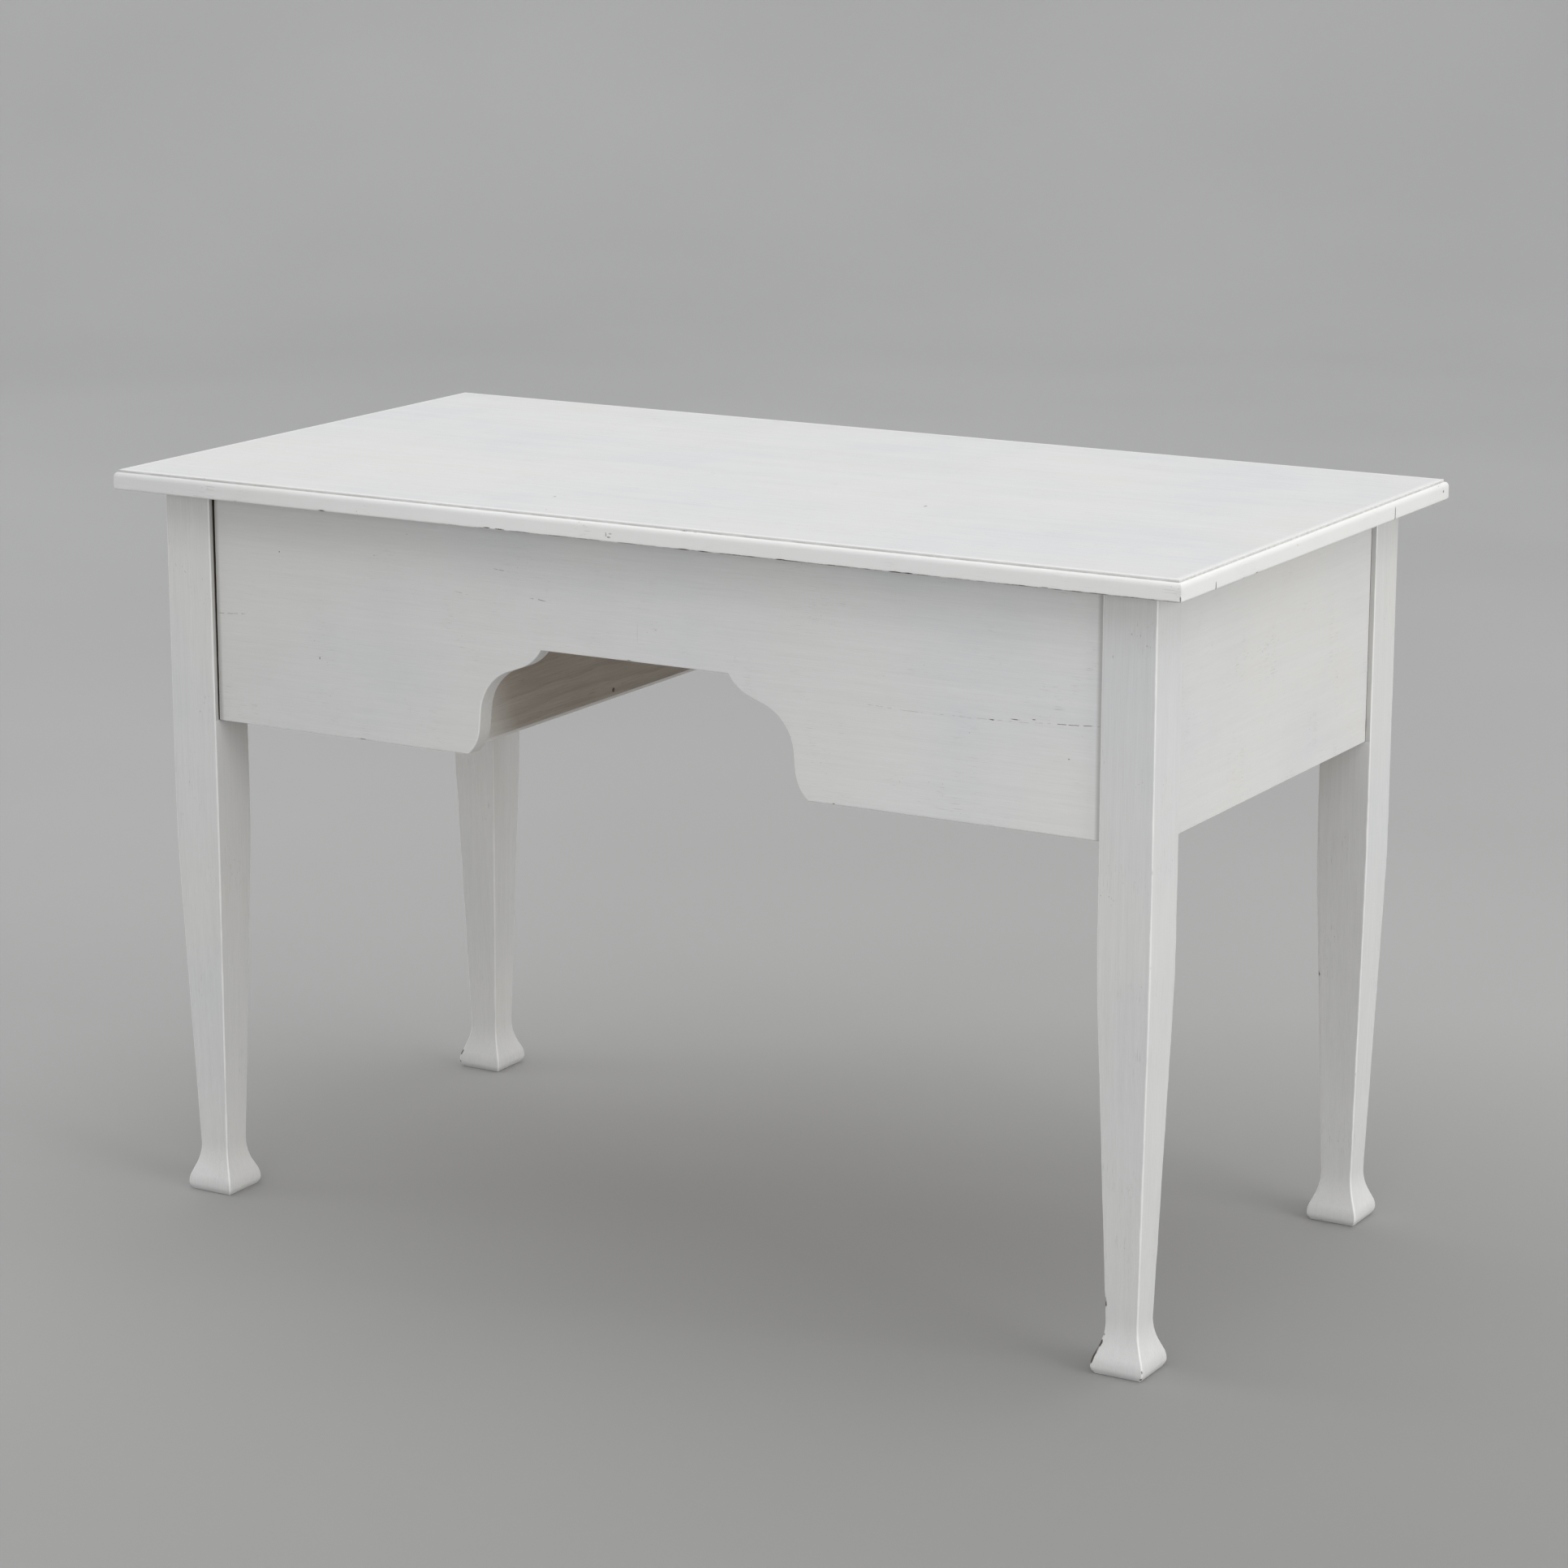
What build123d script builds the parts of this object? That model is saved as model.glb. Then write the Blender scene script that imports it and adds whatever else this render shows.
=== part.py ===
from build123d import *
import os

# Kneehole sewing table: a moulded plank top on four square tapered legs, a cut-out apron
# along one long side and three drawers that open from the other long side.
# Millimetres, +Z up. The origin is on the floor, under the middle of the top.
# +X runs along the table, -Y is the apron side, +Y is the drawer side.

# Overall sizes
HEIGHT = 760.0
TOP_LENGTH = 1176.0
TOP_DEPTH = 620.0
TOP_THICK = 20.0
OVERHANG_END = 38.0
OVERHANG_SIDE = 34.0

# Edge moulding of the top: how far each point stands in from the edge, and below the surface
SURFACE_INSET = 4.0
QUIRK_DROP = 2.6
QUIRK_LEDGE = 0.7
OVOLO_DROP = 5.2
ARRIS_ROUND = 1.8

# The top is glued up from planks of one width; the plank on the apron side is ripped narrower
PLANK_WIDTH = 136.9
PLANK_COUNT = 5

# Legs
LEG_WIDTH = 54.0
KNEE_Z = 381.0
KNEE_RADIUS = 2000.0
ANKLE_HALF = 16.3
ANKLE_Z = 38.0
ANKLE_RADIUS = 64.0
FOOT_HALF = 26.8
FOOT_SHOULDER_Z = 13.0
FOOT_SHOULDER_RADIUS = 24.0
FOOT_ROLL_Z = 5.0
FOOT_ROLL_RADIUS = 9.0
SOLE_HALF = 23.6

# Apron and end boards
BOARD_THICK = 21.0
BOARD_BOTTOM = 506.0
BOARD_RECESS = 5.5
SHRINKAGE_GAP = 1.2
TENON_THICK = 9.0
TENON_LENGTH = 28.0
TENON_SPANS = ((520.0, 604.0), (640.0, 724.0))

# Kneehole outline: half of the corner polygon and the radius at each inner corner
KNEEHOLE_TOP = 618.5
KNEEHOLE_CORNERS = (
    (105.0, KNEEHOLE_TOP),
    (114.2, 603.8),
    (173.0, 582.3),
    (178.7, 517.5),
    (191.6, BOARD_BOTTOM),
)
KNEEHOLE_RADII = (49.0, 50.0, 40.0)

# Carcass behind the apron
PARTITION_INNER = 206.0
PARTITION_THICK = 20.0
HOUSING_DEPTH = 6.0
RAIL_HEIGHT = 20.0
RAIL_DEPTH = 50.0
RAIL_RECESS = 5.0
STUB_TENON = 10.0
STUB_HEIGHT = 8.0
STUB_DEPTH = 34.0
LAP_LENGTH = 26.0
LAP_THICK = 12.0
LAP_NECK = 26.0
LAP_END = 36.0
RUNNER_HEIGHT = 18.0
RUNNER_SHELF = 20.0
GUIDE_HEIGHT = 20.0
KICKER_HEIGHT = 20.0

# Drawers
FRONT_THICK = 20.0
FRONT_GAP = 1.5
SIDE_THICK = 12.0
SIDE_PLAY = 1.5
RUNNING_CLEARANCE = 0.4
SIDE_TOP_CLEARANCE = 4.0
BACK_TOP_CLEARANCE = 9.0
DRAWER_REAR = -215.0
BOTTOM_THICK = 7.0
BOTTOM_RAISE = 9.0
GROOVE_DEPTH = 6.0
TAIL_LENGTH = 13.0
TAIL_NECK = 16.0
TAIL_END = 22.0
TAIL_PITCH = 45.0

# Knobs and fasteners
KNOB_FOOT_R = 10.0
KNOB_NECK_R = 7.0
KNOB_HEAD_R = 15.5
KNOB_LENGTH = 26.0
KNOB_WAIST = 14.0
KNOB_BROW = 21.5
KNOB_CROWN_R = 22.5
SCREW_R = 2.2
SCREW_HEAD_R = 4.4
SCREW_HEAD_H = 2.8
SLOT_WIDTH = 0.9
SLOT_DEPTH = 1.0
TOP_SCREW_LENGTH = 32.0
KNOB_SCREW_LENGTH = 34.0
NAIL_R = 1.2
NAIL_HEAD_R = 2.4
NAIL_HEAD_H = 1.0
RUNNER_NAIL_LENGTH = 32.0
RUNNER_NAIL_Y = (17.0, 184.0)
RUNNER_NAIL_RISE = 9.0
BOTTOM_NAIL_LENGTH = 24.0
NAIL_INSET = 50.0
TOP_SCREW_Y = (-150.0, 140.0)
STOP_SIZE = (22.0, 8.0, 6.0)
STOP_INSET = 55.0
STOP_CLEARANCE = 0.3
GLUE_BLOCK_LEG = 24.0
GLUE_BLOCK_LENGTH = 50.0
GLUE_BLOCK_X = (80.0, 300.0, 420.0)

# Places worked out from the sizes above
TOP_UNDERSIDE = HEIGHT - TOP_THICK
LEG_OUT_X = TOP_LENGTH / 2 - OVERHANG_END
LEG_OUT_Y = TOP_DEPTH / 2 - OVERHANG_SIDE
LEG_IN_X = LEG_OUT_X - LEG_WIDTH
LEG_IN_Y = LEG_OUT_Y - LEG_WIDTH
APRON_FACE = -(LEG_OUT_Y - BOARD_RECESS)
APRON_REAR = APRON_FACE + BOARD_THICK
END_FACE = LEG_OUT_X - BOARD_RECESS
END_INNER = END_FACE - BOARD_THICK
RAIL_FACE = LEG_OUT_Y - RAIL_RECESS
RAIL_INNER = RAIL_FACE - RAIL_DEPTH
PARTITION_OUTER = PARTITION_INNER + PARTITION_THICK
TOP_RAIL_BOTTOM = TOP_UNDERSIDE - RAIL_HEIGHT
LOWER_RAIL_TOP = BOARD_BOTTOM + RAIL_HEIGHT
CENTER_RAIL_TOP = KNEEHOLE_TOP + RAIL_HEIGHT
KICKER_BOTTOM = TOP_UNDERSIDE - KICKER_HEIGHT
SIDES = {"left": -1, "right": 1}

# Each drawer opening: lowest and highest x, lowest and highest z
OPENINGS = {
    "left": (-LEG_IN_X, -PARTITION_OUTER, LOWER_RAIL_TOP, TOP_RAIL_BOTTOM),
    "center": (-PARTITION_INNER, PARTITION_INNER, CENTER_RAIL_TOP, TOP_RAIL_BOTTOM),
    "right": (PARTITION_OUTER, LEG_IN_X, LOWER_RAIL_TOP, TOP_RAIL_BOTTOM),
}


def block(xs, ys, zs):
    """A box between two x, two y and two z values, given in either order."""
    spans = [sorted(pair) for pair in (xs, ys, zs)]
    size = [high - low for low, high in spans]
    middle = [(high + low) / 2 for low, high in spans]
    return Pos(*middle) * Box(*size)


def prism_along_y(outline, y0, y1):
    """A face drawn in x and z, carried along Y from y0 to y1."""
    return extrude(Plane.XZ.offset(-min(y0, y1)) * outline, -abs(y1 - y0))


def prism_along_x(outline, x0, x1):
    """A face drawn in y and z, carried along X from x0 to x1."""
    return extrude(Plane.YZ.offset(min(x0, x1)) * outline, abs(x1 - x0))


def cut(solid, *others):
    """Takes away what other pieces fill, such as a mortise round its tenon."""
    for other in others:
        solid = solid - other
    return solid


# ---- top ----------------------------------------------------------------------------------


def moulded_outline(width):
    """Cross-section of the top: quirk, ovolo and eased lower arris on both edges."""
    half = width / 2
    quirk = HEIGHT - QUIRK_DROP
    ovolo_start = half - SURFACE_INSET + QUIRK_LEDGE
    ovolo_end = quirk - OVOLO_DROP
    ovolo = EllipticalCenterArc(
        (ovolo_start, ovolo_end), half - ovolo_start, OVOLO_DROP, start_angle=0, arc_size=90
    )
    arris = RadiusArc(
        (half - ARRIS_ROUND, TOP_UNDERSIDE), (half, TOP_UNDERSIDE + ARRIS_ROUND), -ARRIS_ROUND
    )
    straight = [
        Line((0, HEIGHT), (half - SURFACE_INSET, HEIGHT)),
        Line((half - SURFACE_INSET, HEIGHT), (half - SURFACE_INSET, quirk)),
        Line((half - SURFACE_INSET, quirk), (ovolo_start, quirk)),
        Line((half, ovolo_end), (half, TOP_UNDERSIDE + ARRIS_ROUND)),
        Line((half - ARRIS_ROUND, TOP_UNDERSIDE), (0, TOP_UNDERSIDE)),
        Line((0, TOP_UNDERSIDE), (0, HEIGHT)),
    ]
    side = make_face([*straight, ovolo, arris])
    return side + mirror(side, Plane.YZ)


def top_planks():
    """The moulded slab, ripped into its planks from the drawer side to the apron side."""
    along = prism_along_y(moulded_outline(TOP_LENGTH), -TOP_DEPTH / 2, TOP_DEPTH / 2)
    across = prism_along_x(moulded_outline(TOP_DEPTH), -TOP_LENGTH / 2, TOP_LENGTH / 2)
    slab = along & across
    planks = {}
    rear = TOP_DEPTH / 2
    for number in range(PLANK_COUNT, 0, -1):
        front = -TOP_DEPTH / 2 if number == 1 else rear - PLANK_WIDTH
        strip = block((-TOP_LENGTH, TOP_LENGTH), (front, rear), (TOP_UNDERSIDE, HEIGHT))
        planks[f"top_plank_{number}"] = slab & strip
        rear = front
    return planks


# ---- legs and boards ------------------------------------------------------------------------


def leg_outline():
    """The leg seen square on, about its own axis: straight head, knee, taper, ankle and foot."""
    half = LEG_WIDTH / 2
    side = FilletPolyline(
        (SOLE_HALF, 0),
        (FOOT_HALF, FOOT_ROLL_Z),
        (FOOT_HALF, FOOT_SHOULDER_Z),
        (ANKLE_HALF, ANKLE_Z),
        (half, KNEE_Z),
        (half, TOP_UNDERSIDE),
        radius=[FOOT_ROLL_RADIUS, FOOT_SHOULDER_RADIUS, ANKLE_RADIUS, KNEE_RADIUS],
    )
    rest = Polyline((half, TOP_UNDERSIDE), (0, TOP_UNDERSIDE), (0, 0), (SOLE_HALF, 0))
    right = make_face([*side.edges(), *rest.edges()])
    return right + mirror(right, Plane.YZ)


def leg_blank(side_x, side_y):
    """A square leg, the same on its four faces, before its mortises are cut."""
    half = LEG_WIDTH / 2
    outline = leg_outline()
    blank = prism_along_y(outline, -half, half) & prism_along_x(outline, -half, half)
    return Pos(side_x * (LEG_OUT_X - half), side_y * (LEG_OUT_Y - half), 0) * blank


def kneehole():
    """The space cut out of the apron, wider than the board is thick."""
    right = FilletPolyline(*KNEEHOLE_CORNERS, radius=list(KNEEHOLE_RADII))
    half_width = KNEEHOLE_CORNERS[-1][0]
    closing = Polyline(
        (half_width, BOARD_BOTTOM), (0, BOARD_BOTTOM), (0, KNEEHOLE_TOP), KNEEHOLE_CORNERS[0]
    )
    half = make_face([*right.edges(), *closing.edges()])
    return prism_along_y(half + mirror(half, Plane.YZ), APRON_FACE - 1, APRON_REAR + 1)


def apron_board():
    """The long board with the kneehole; its left shoulder has shrunk clear of the leg."""
    board = block(
        (-LEG_IN_X + SHRINKAGE_GAP, LEG_IN_X), (APRON_FACE, APRON_REAR), (BOARD_BOTTOM, TOP_UNDERSIDE)
    )
    middle = (APRON_FACE + APRON_REAR) / 2
    cheeks = (middle - TENON_THICK / 2, middle + TENON_THICK / 2)
    for side in SIDES.values():
        ends = (side * (LEG_IN_X - SHRINKAGE_GAP), side * (LEG_IN_X + TENON_LENGTH))
        for span in TENON_SPANS:
            board += block(ends, cheeks, span)
    return board - kneehole()


def end_board(side):
    """The board that closes one end, tenoned into both of its legs."""
    board = block(
        (side * END_INNER, side * END_FACE), (-LEG_IN_Y, LEG_IN_Y), (BOARD_BOTTOM, TOP_UNDERSIDE)
    )
    middle = (END_INNER + END_FACE) / 2
    cheeks = (side * (middle - TENON_THICK / 2), side * (middle + TENON_THICK / 2))
    reach = LEG_IN_Y + TENON_LENGTH
    for span in TENON_SPANS:
        board += block(cheeks, (-reach, reach), span)
    return board


# ---- carcass --------------------------------------------------------------------------------


def rail_depths(depth):
    """The two y values of a tenon of this depth, centred on the rails."""
    middle = (RAIL_FACE + RAIL_INNER) / 2
    return middle - depth / 2, middle + depth / 2


def top_rail():
    """The rail over the drawers, lapped by a dovetail into the head of each leg."""
    rail = block((-LEG_IN_X, LEG_IN_X), (RAIL_INNER, RAIL_FACE), (TOP_RAIL_BOTTOM, TOP_UNDERSIDE))
    middle = (RAIL_INNER + RAIL_FACE) / 2
    for side in SIDES.values():
        neck, end = side * LEG_IN_X, side * (LEG_IN_X + LAP_LENGTH)
        corners = [
            (neck, middle - LAP_NECK / 2),
            (end, middle - LAP_END / 2),
            (end, middle + LAP_END / 2),
            (neck, middle + LAP_NECK / 2),
        ]
        lap = make_face(Polyline(*corners, close=True))
        rail += extrude(Pos(0, 0, TOP_UNDERSIDE - LAP_THICK) * lap, LAP_THICK, dir=(0, 0, 1))
    return rail


def stub_tenoned_rail(x0, x1, z_top, tenon_in, tenon_out):
    """A rail under a drawer, between x0 and x1, with a stub tenon at each end."""
    rail = block((x0, x1), (RAIL_INNER, RAIL_FACE), (z_top - RAIL_HEIGHT, z_top))
    middle = z_top - RAIL_HEIGHT / 2
    tenon_z = (middle - STUB_HEIGHT / 2, middle + STUB_HEIGHT / 2)
    return rail + block((x0 - tenon_in, x1 + tenon_out), rail_depths(STUB_DEPTH), tenon_z)


def lower_rail(side):
    """The rail under one side drawer, from the partition to the leg."""
    if side < 0:
        return stub_tenoned_rail(-LEG_IN_X, -PARTITION_OUTER, LOWER_RAIL_TOP, TENON_LENGTH, STUB_TENON)
    return stub_tenoned_rail(PARTITION_OUTER, LEG_IN_X, LOWER_RAIL_TOP, STUB_TENON, TENON_LENGTH)


def center_rail():
    """The rail under the middle drawer, between the partitions."""
    return stub_tenoned_rail(-PARTITION_INNER, PARTITION_INNER, CENTER_RAIL_TOP, STUB_TENON, STUB_TENON)


def partition_blank(side):
    """The upright board at one side of the kneehole, housed in the back of the apron."""
    return block(
        (side * PARTITION_INNER, side * PARTITION_OUTER),
        (APRON_REAR - HOUSING_DEPTH, RAIL_FACE),
        (BOARD_BOTTOM, TOP_UNDERSIDE),
    )


def outer_runner(side):
    """Runner and guide in one piece, between the legs: a shelf and a strip that fills out to them."""
    shelf = block(
        (side * END_INNER, side * (LEG_IN_X - RUNNER_SHELF)),
        (-LEG_IN_Y, RAIL_INNER),
        (LOWER_RAIL_TOP - RUNNER_HEIGHT, LOWER_RAIL_TOP),
    )
    guide = block(
        (side * END_INNER, side * LEG_IN_X),
        (-LEG_IN_Y, RAIL_INNER),
        (LOWER_RAIL_TOP, LOWER_RAIL_TOP + GUIDE_HEIGHT),
    )
    return shelf + guide


def inner_runner(side):
    """The runner on the outside of one partition."""
    return block(
        (side * PARTITION_OUTER, side * (PARTITION_OUTER + RUNNER_SHELF)),
        (APRON_REAR, RAIL_INNER),
        (LOWER_RAIL_TOP - RUNNER_HEIGHT, LOWER_RAIL_TOP),
    )


def center_runner(side):
    """The runner of the middle drawer, on the kneehole side of one partition."""
    return block(
        (side * PARTITION_INNER, side * (PARTITION_INNER - RUNNER_SHELF)),
        (APRON_REAR, RAIL_INNER),
        (CENTER_RAIL_TOP - RUNNER_HEIGHT, CENTER_RAIL_TOP),
    )


def kicker(x0, x1, y0=APRON_REAR):
    """A strip under the top that keeps an open drawer from tipping."""
    return block((x0, x1), (y0, RAIL_INNER), (KICKER_BOTTOM, TOP_UNDERSIDE))


def kickers():
    pieces = {}
    for name, side in SIDES.items():
        outer = (side * END_INNER, side * (LEG_IN_X - RUNNER_SHELF))
        inner = (side * PARTITION_OUTER, side * (PARTITION_OUTER + RUNNER_SHELF))
        center = (side * PARTITION_INNER, side * (PARTITION_INNER - RUNNER_SHELF))
        pieces[f"{name}_outer_kicker"] = kicker(*outer, y0=-LEG_IN_Y)
        pieces[f"{name}_inner_kicker"] = kicker(*inner)
        pieces[f"{name}_center_kicker"] = kicker(*center)
    return pieces


def glue_blocks():
    """Three-cornered blocks glued into the angle between the apron and the top."""
    leg = GLUE_BLOCK_LEG
    corners = [
        (APRON_REAR, TOP_UNDERSIDE),
        (APRON_REAR + leg, TOP_UNDERSIDE),
        (APRON_REAR, TOP_UNDERSIDE - leg),
    ]
    section = make_face(Polyline(*corners, close=True))
    blocks = []
    for side in SIDES.values():
        for x in GLUE_BLOCK_X:
            start = side * x - GLUE_BLOCK_LENGTH / 2
            blocks.append(prism_along_x(section, start, start + GLUE_BLOCK_LENGTH))
    return blocks


def drawer_stops():
    """Small blocks on the rails that meet the back of each closed drawer front."""
    length, depth, height = STOP_SIZE
    face = RAIL_FACE - FRONT_THICK - STOP_CLEARANCE
    stops = []
    for x0, x1, z0, _ in OPENINGS.values():
        for x in (x0 + STOP_INSET, x1 - STOP_INSET):
            stops.append(block((x - length / 2, x + length / 2), (face - depth, face), (z0, z0 + height)))
    return stops


# ---- fasteners ------------------------------------------------------------------------------


def screw(length):
    """A slotted countersunk wood screw along +Z, with its head's face at z = 0."""
    head = Pos(0, 0, SCREW_HEAD_H / 2) * Cone(SCREW_HEAD_R, SCREW_R, SCREW_HEAD_H)
    shank = Pos(0, 0, length / 2) * Cylinder(SCREW_R, length)
    slot = Pos(0, 0, SLOT_DEPTH / 2) * Box(3 * SCREW_HEAD_R, SLOT_WIDTH, SLOT_DEPTH)
    return head + shank - slot


def screw_hole(length):
    """The hole that the same screw fills, its slot included."""
    head = Pos(0, 0, SCREW_HEAD_H / 2) * Cone(SCREW_HEAD_R, SCREW_R, SCREW_HEAD_H)
    return head + Pos(0, 0, length / 2) * Cylinder(SCREW_R, length)


def nail(length):
    """A flat-headed nail along +Z, with its head's face at z = 0."""
    shank = Pos(0, 0, length / 2) * Cylinder(NAIL_R, length)
    return shank + Pos(0, 0, NAIL_HEAD_H / 2) * Cylinder(NAIL_HEAD_R, NAIL_HEAD_H)


def top_screw_places():
    """Under the outer and inner kickers, pointing up into the top."""
    outer = (END_INNER + LEG_IN_X - RUNNER_SHELF) / 2
    inner = PARTITION_OUTER + RUNNER_SHELF / 2
    xs = (-outer, -inner, inner, outer)
    return [Pos(x, y, KICKER_BOTTOM) for x in xs for y in TOP_SCREW_Y]


def runner_nail_places():
    """From the kneehole side of each partition into the runner behind it."""
    places = []
    for side in SIDES.values():
        for y in RUNNER_NAIL_Y:
            point = (side * PARTITION_INNER, y, BOARD_BOTTOM + RUNNER_NAIL_RISE)
            places.append(Location(Plane(point, x_dir=(0, 1, 0), z_dir=(side, 0, 0))))
    return places


# ---- drawers --------------------------------------------------------------------------------


def dovetails(x0, x1, y_neck, y_end, z0, z1):
    """Tails through a drawer side from x0 to x1, evenly spaced between z0 and z1."""
    count = max(2, round((z1 - z0) / TAIL_PITCH))
    pitch = (z1 - z0) / count
    tails = []
    for index in range(count):
        middle = z0 + (index + 0.5) * pitch
        corners = [
            (y_neck, middle - TAIL_NECK / 2),
            (y_end, middle - TAIL_END / 2),
            (y_end, middle + TAIL_END / 2),
            (y_neck, middle + TAIL_NECK / 2),
        ]
        tails.append(prism_along_x(make_face(Polyline(*corners, close=True)), x0, x1))
    return tails


def knob():
    """A turned knob along +Z, bored for its screw, with its foot at z = 0."""
    bore = KNOB_SCREW_LENGTH - FRONT_THICK
    profile = [
        Line((SCREW_R, 0), (KNOB_FOOT_R, 0)),
        ThreePointArc((KNOB_FOOT_R, 0), (KNOB_FOOT_R - 0.4, 2.2), (KNOB_NECK_R, 6)),
        ThreePointArc((KNOB_NECK_R, 6), (KNOB_NECK_R + 1.2, 10), (KNOB_HEAD_R - 1.5, KNOB_WAIST)),
        ThreePointArc((KNOB_HEAD_R - 1.5, KNOB_WAIST), (KNOB_HEAD_R, 17.5), (KNOB_HEAD_R - 2, KNOB_BROW)),
        RadiusArc((KNOB_HEAD_R - 2, KNOB_BROW), (0, KNOB_LENGTH), -KNOB_CROWN_R),
        Polyline((0, KNOB_LENGTH), (0, bore), (SCREW_R, bore), (SCREW_R, 0)),
    ]
    return revolve(Plane.XZ * make_face(profile), Axis.Z)


def facing_out(x, y, z):
    """A place whose own +Z points out of the drawer side of the table."""
    return Location(Plane((x, y, z), x_dir=(1, 0, 0), z_dir=(0, 1, 0)))


def drawer(name):
    """The pieces of one drawer: a dovetailed box with its bottom let into grooves."""
    x0, x1, z0, z1 = OPENINGS[name]
    front_inner = RAIL_FACE - FRONT_THICK
    side_z = (z0 + RUNNING_CLEARANCE, z1 - SIDE_TOP_CLEARANCE)
    bottom_z = (side_z[0] + BOTTOM_RAISE, side_z[0] + BOTTOM_RAISE + BOTTOM_THICK)
    back_z = (bottom_z[1], z1 - BACK_TOP_CLEARANCE)
    back_y = (DRAWER_REAR, DRAWER_REAR + SIDE_THICK)
    left = (x0 + SIDE_PLAY, x0 + SIDE_PLAY + SIDE_THICK)
    right = (x1 - SIDE_PLAY - SIDE_THICK, x1 - SIDE_PLAY)

    front = block(
        (x0 + FRONT_GAP, x1 - FRONT_GAP), (front_inner, RAIL_FACE), (z0 + FRONT_GAP, z1 - FRONT_GAP)
    )
    back = block((left[0], right[1]), back_y, back_z)
    bottom_x = (left[1] - GROOVE_DEPTH, right[0] + GROOVE_DEPTH)
    bottom = block(bottom_x, (DRAWER_REAR, front_inner + GROOVE_DEPTH), bottom_z)
    sides = {}
    for label, xs in (("left", left), ("right", right)):
        front_tails = dovetails(*xs, front_inner, front_inner + TAIL_LENGTH, back_z[0], side_z[1])
        back = cut(back, *dovetails(*xs, back_y[1], back_y[0], *back_z))
        plank = block(xs, (DRAWER_REAR, front_inner), side_z)
        sides[label] = plank.fuse(*front_tails)
        front = cut(front, *front_tails)

    center_x, center_z = (x0 + x1) / 2, (z0 + z1) / 2
    knob_place = facing_out(center_x, RAIL_FACE, center_z)
    screw_place = facing_out(center_x, front_inner, center_z)
    drilled = screw_place * screw_hole(KNOB_SCREW_LENGTH)
    nail_xs = (left[1] + NAIL_INSET, center_x, right[0] - NAIL_INSET)
    nails = [Pos(x, sum(back_y) / 2, bottom_z[0]) * nail(BOTTOM_NAIL_LENGTH) for x in nail_xs]
    return {
        f"{name}_drawer_front": cut(front, bottom, drilled),
        f"{name}_drawer_left_side": cut(sides["left"], back, bottom),
        f"{name}_drawer_right_side": cut(sides["right"], back, bottom),
        f"{name}_drawer_back": cut(back, *nails),
        f"{name}_drawer_bottom": cut(bottom, *nails),
        f"{name}_drawer_knob": knob_place * knob(),
        f"{name}_drawer_knob_screw": screw_place * screw(KNOB_SCREW_LENGTH),
        f"{name}_drawer_bottom_nails": nails,
    }


# ---- assembly -------------------------------------------------------------------------------


def carcass():
    """Legs, boards, partitions, rails, runners and kickers, with their joints cut."""
    apron = apron_board()
    rail = top_rail()
    middle_rail = center_rail()
    nails = [place * nail(RUNNER_NAIL_LENGTH) for place in runner_nail_places()]
    pieces = {"top_rail": rail, "center_rail": middle_rail, "runner_nails": nails}
    for name, side in SIDES.items():
        board = end_board(side)
        low_rail = lower_rail(side)
        blank = partition_blank(side)
        apron = apron - blank
        pieces[f"front_{name}_leg"] = cut(leg_blank(side, -1), apron, board)
        pieces[f"back_{name}_leg"] = cut(leg_blank(side, 1), board, low_rail, rail)
        pieces[f"{name}_end_board"] = board
        pieces[f"{name}_lower_rail"] = low_rail
        pieces[f"{name}_partition"] = cut(blank, rail, low_rail, middle_rail, *nails)
        pieces[f"{name}_outer_runner"] = outer_runner(side)
        pieces[f"{name}_inner_runner"] = cut(inner_runner(side), *nails)
        pieces[f"{name}_center_runner"] = center_runner(side)
    pieces["apron_board"] = apron
    return pieces


def table():
    pieces = carcass()
    pieces.update(kickers())
    pieces.update(top_planks())
    places = top_screw_places()
    holes = [place * screw_hole(TOP_SCREW_LENGTH) for place in places]
    for name in pieces:
        if name.startswith("top_plank") or name.endswith(("outer_kicker", "inner_kicker")):
            pieces[name] = cut(pieces[name], *holes)
    pieces["top_screws"] = [place * screw(TOP_SCREW_LENGTH) for place in places]
    pieces["glue_blocks"] = glue_blocks()
    pieces["drawer_stops"] = drawer_stops()
    for name in OPENINGS:
        pieces.update(drawer(name))
    return pieces


os.makedirs("parts", exist_ok=True)
for node, piece in table().items():
    shape = Compound(children=list(piece)) if isinstance(piece, list) else piece
    export_step(shape, f"parts/{node}.step")
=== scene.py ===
import math

import bpy
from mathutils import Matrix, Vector, noise


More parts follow.
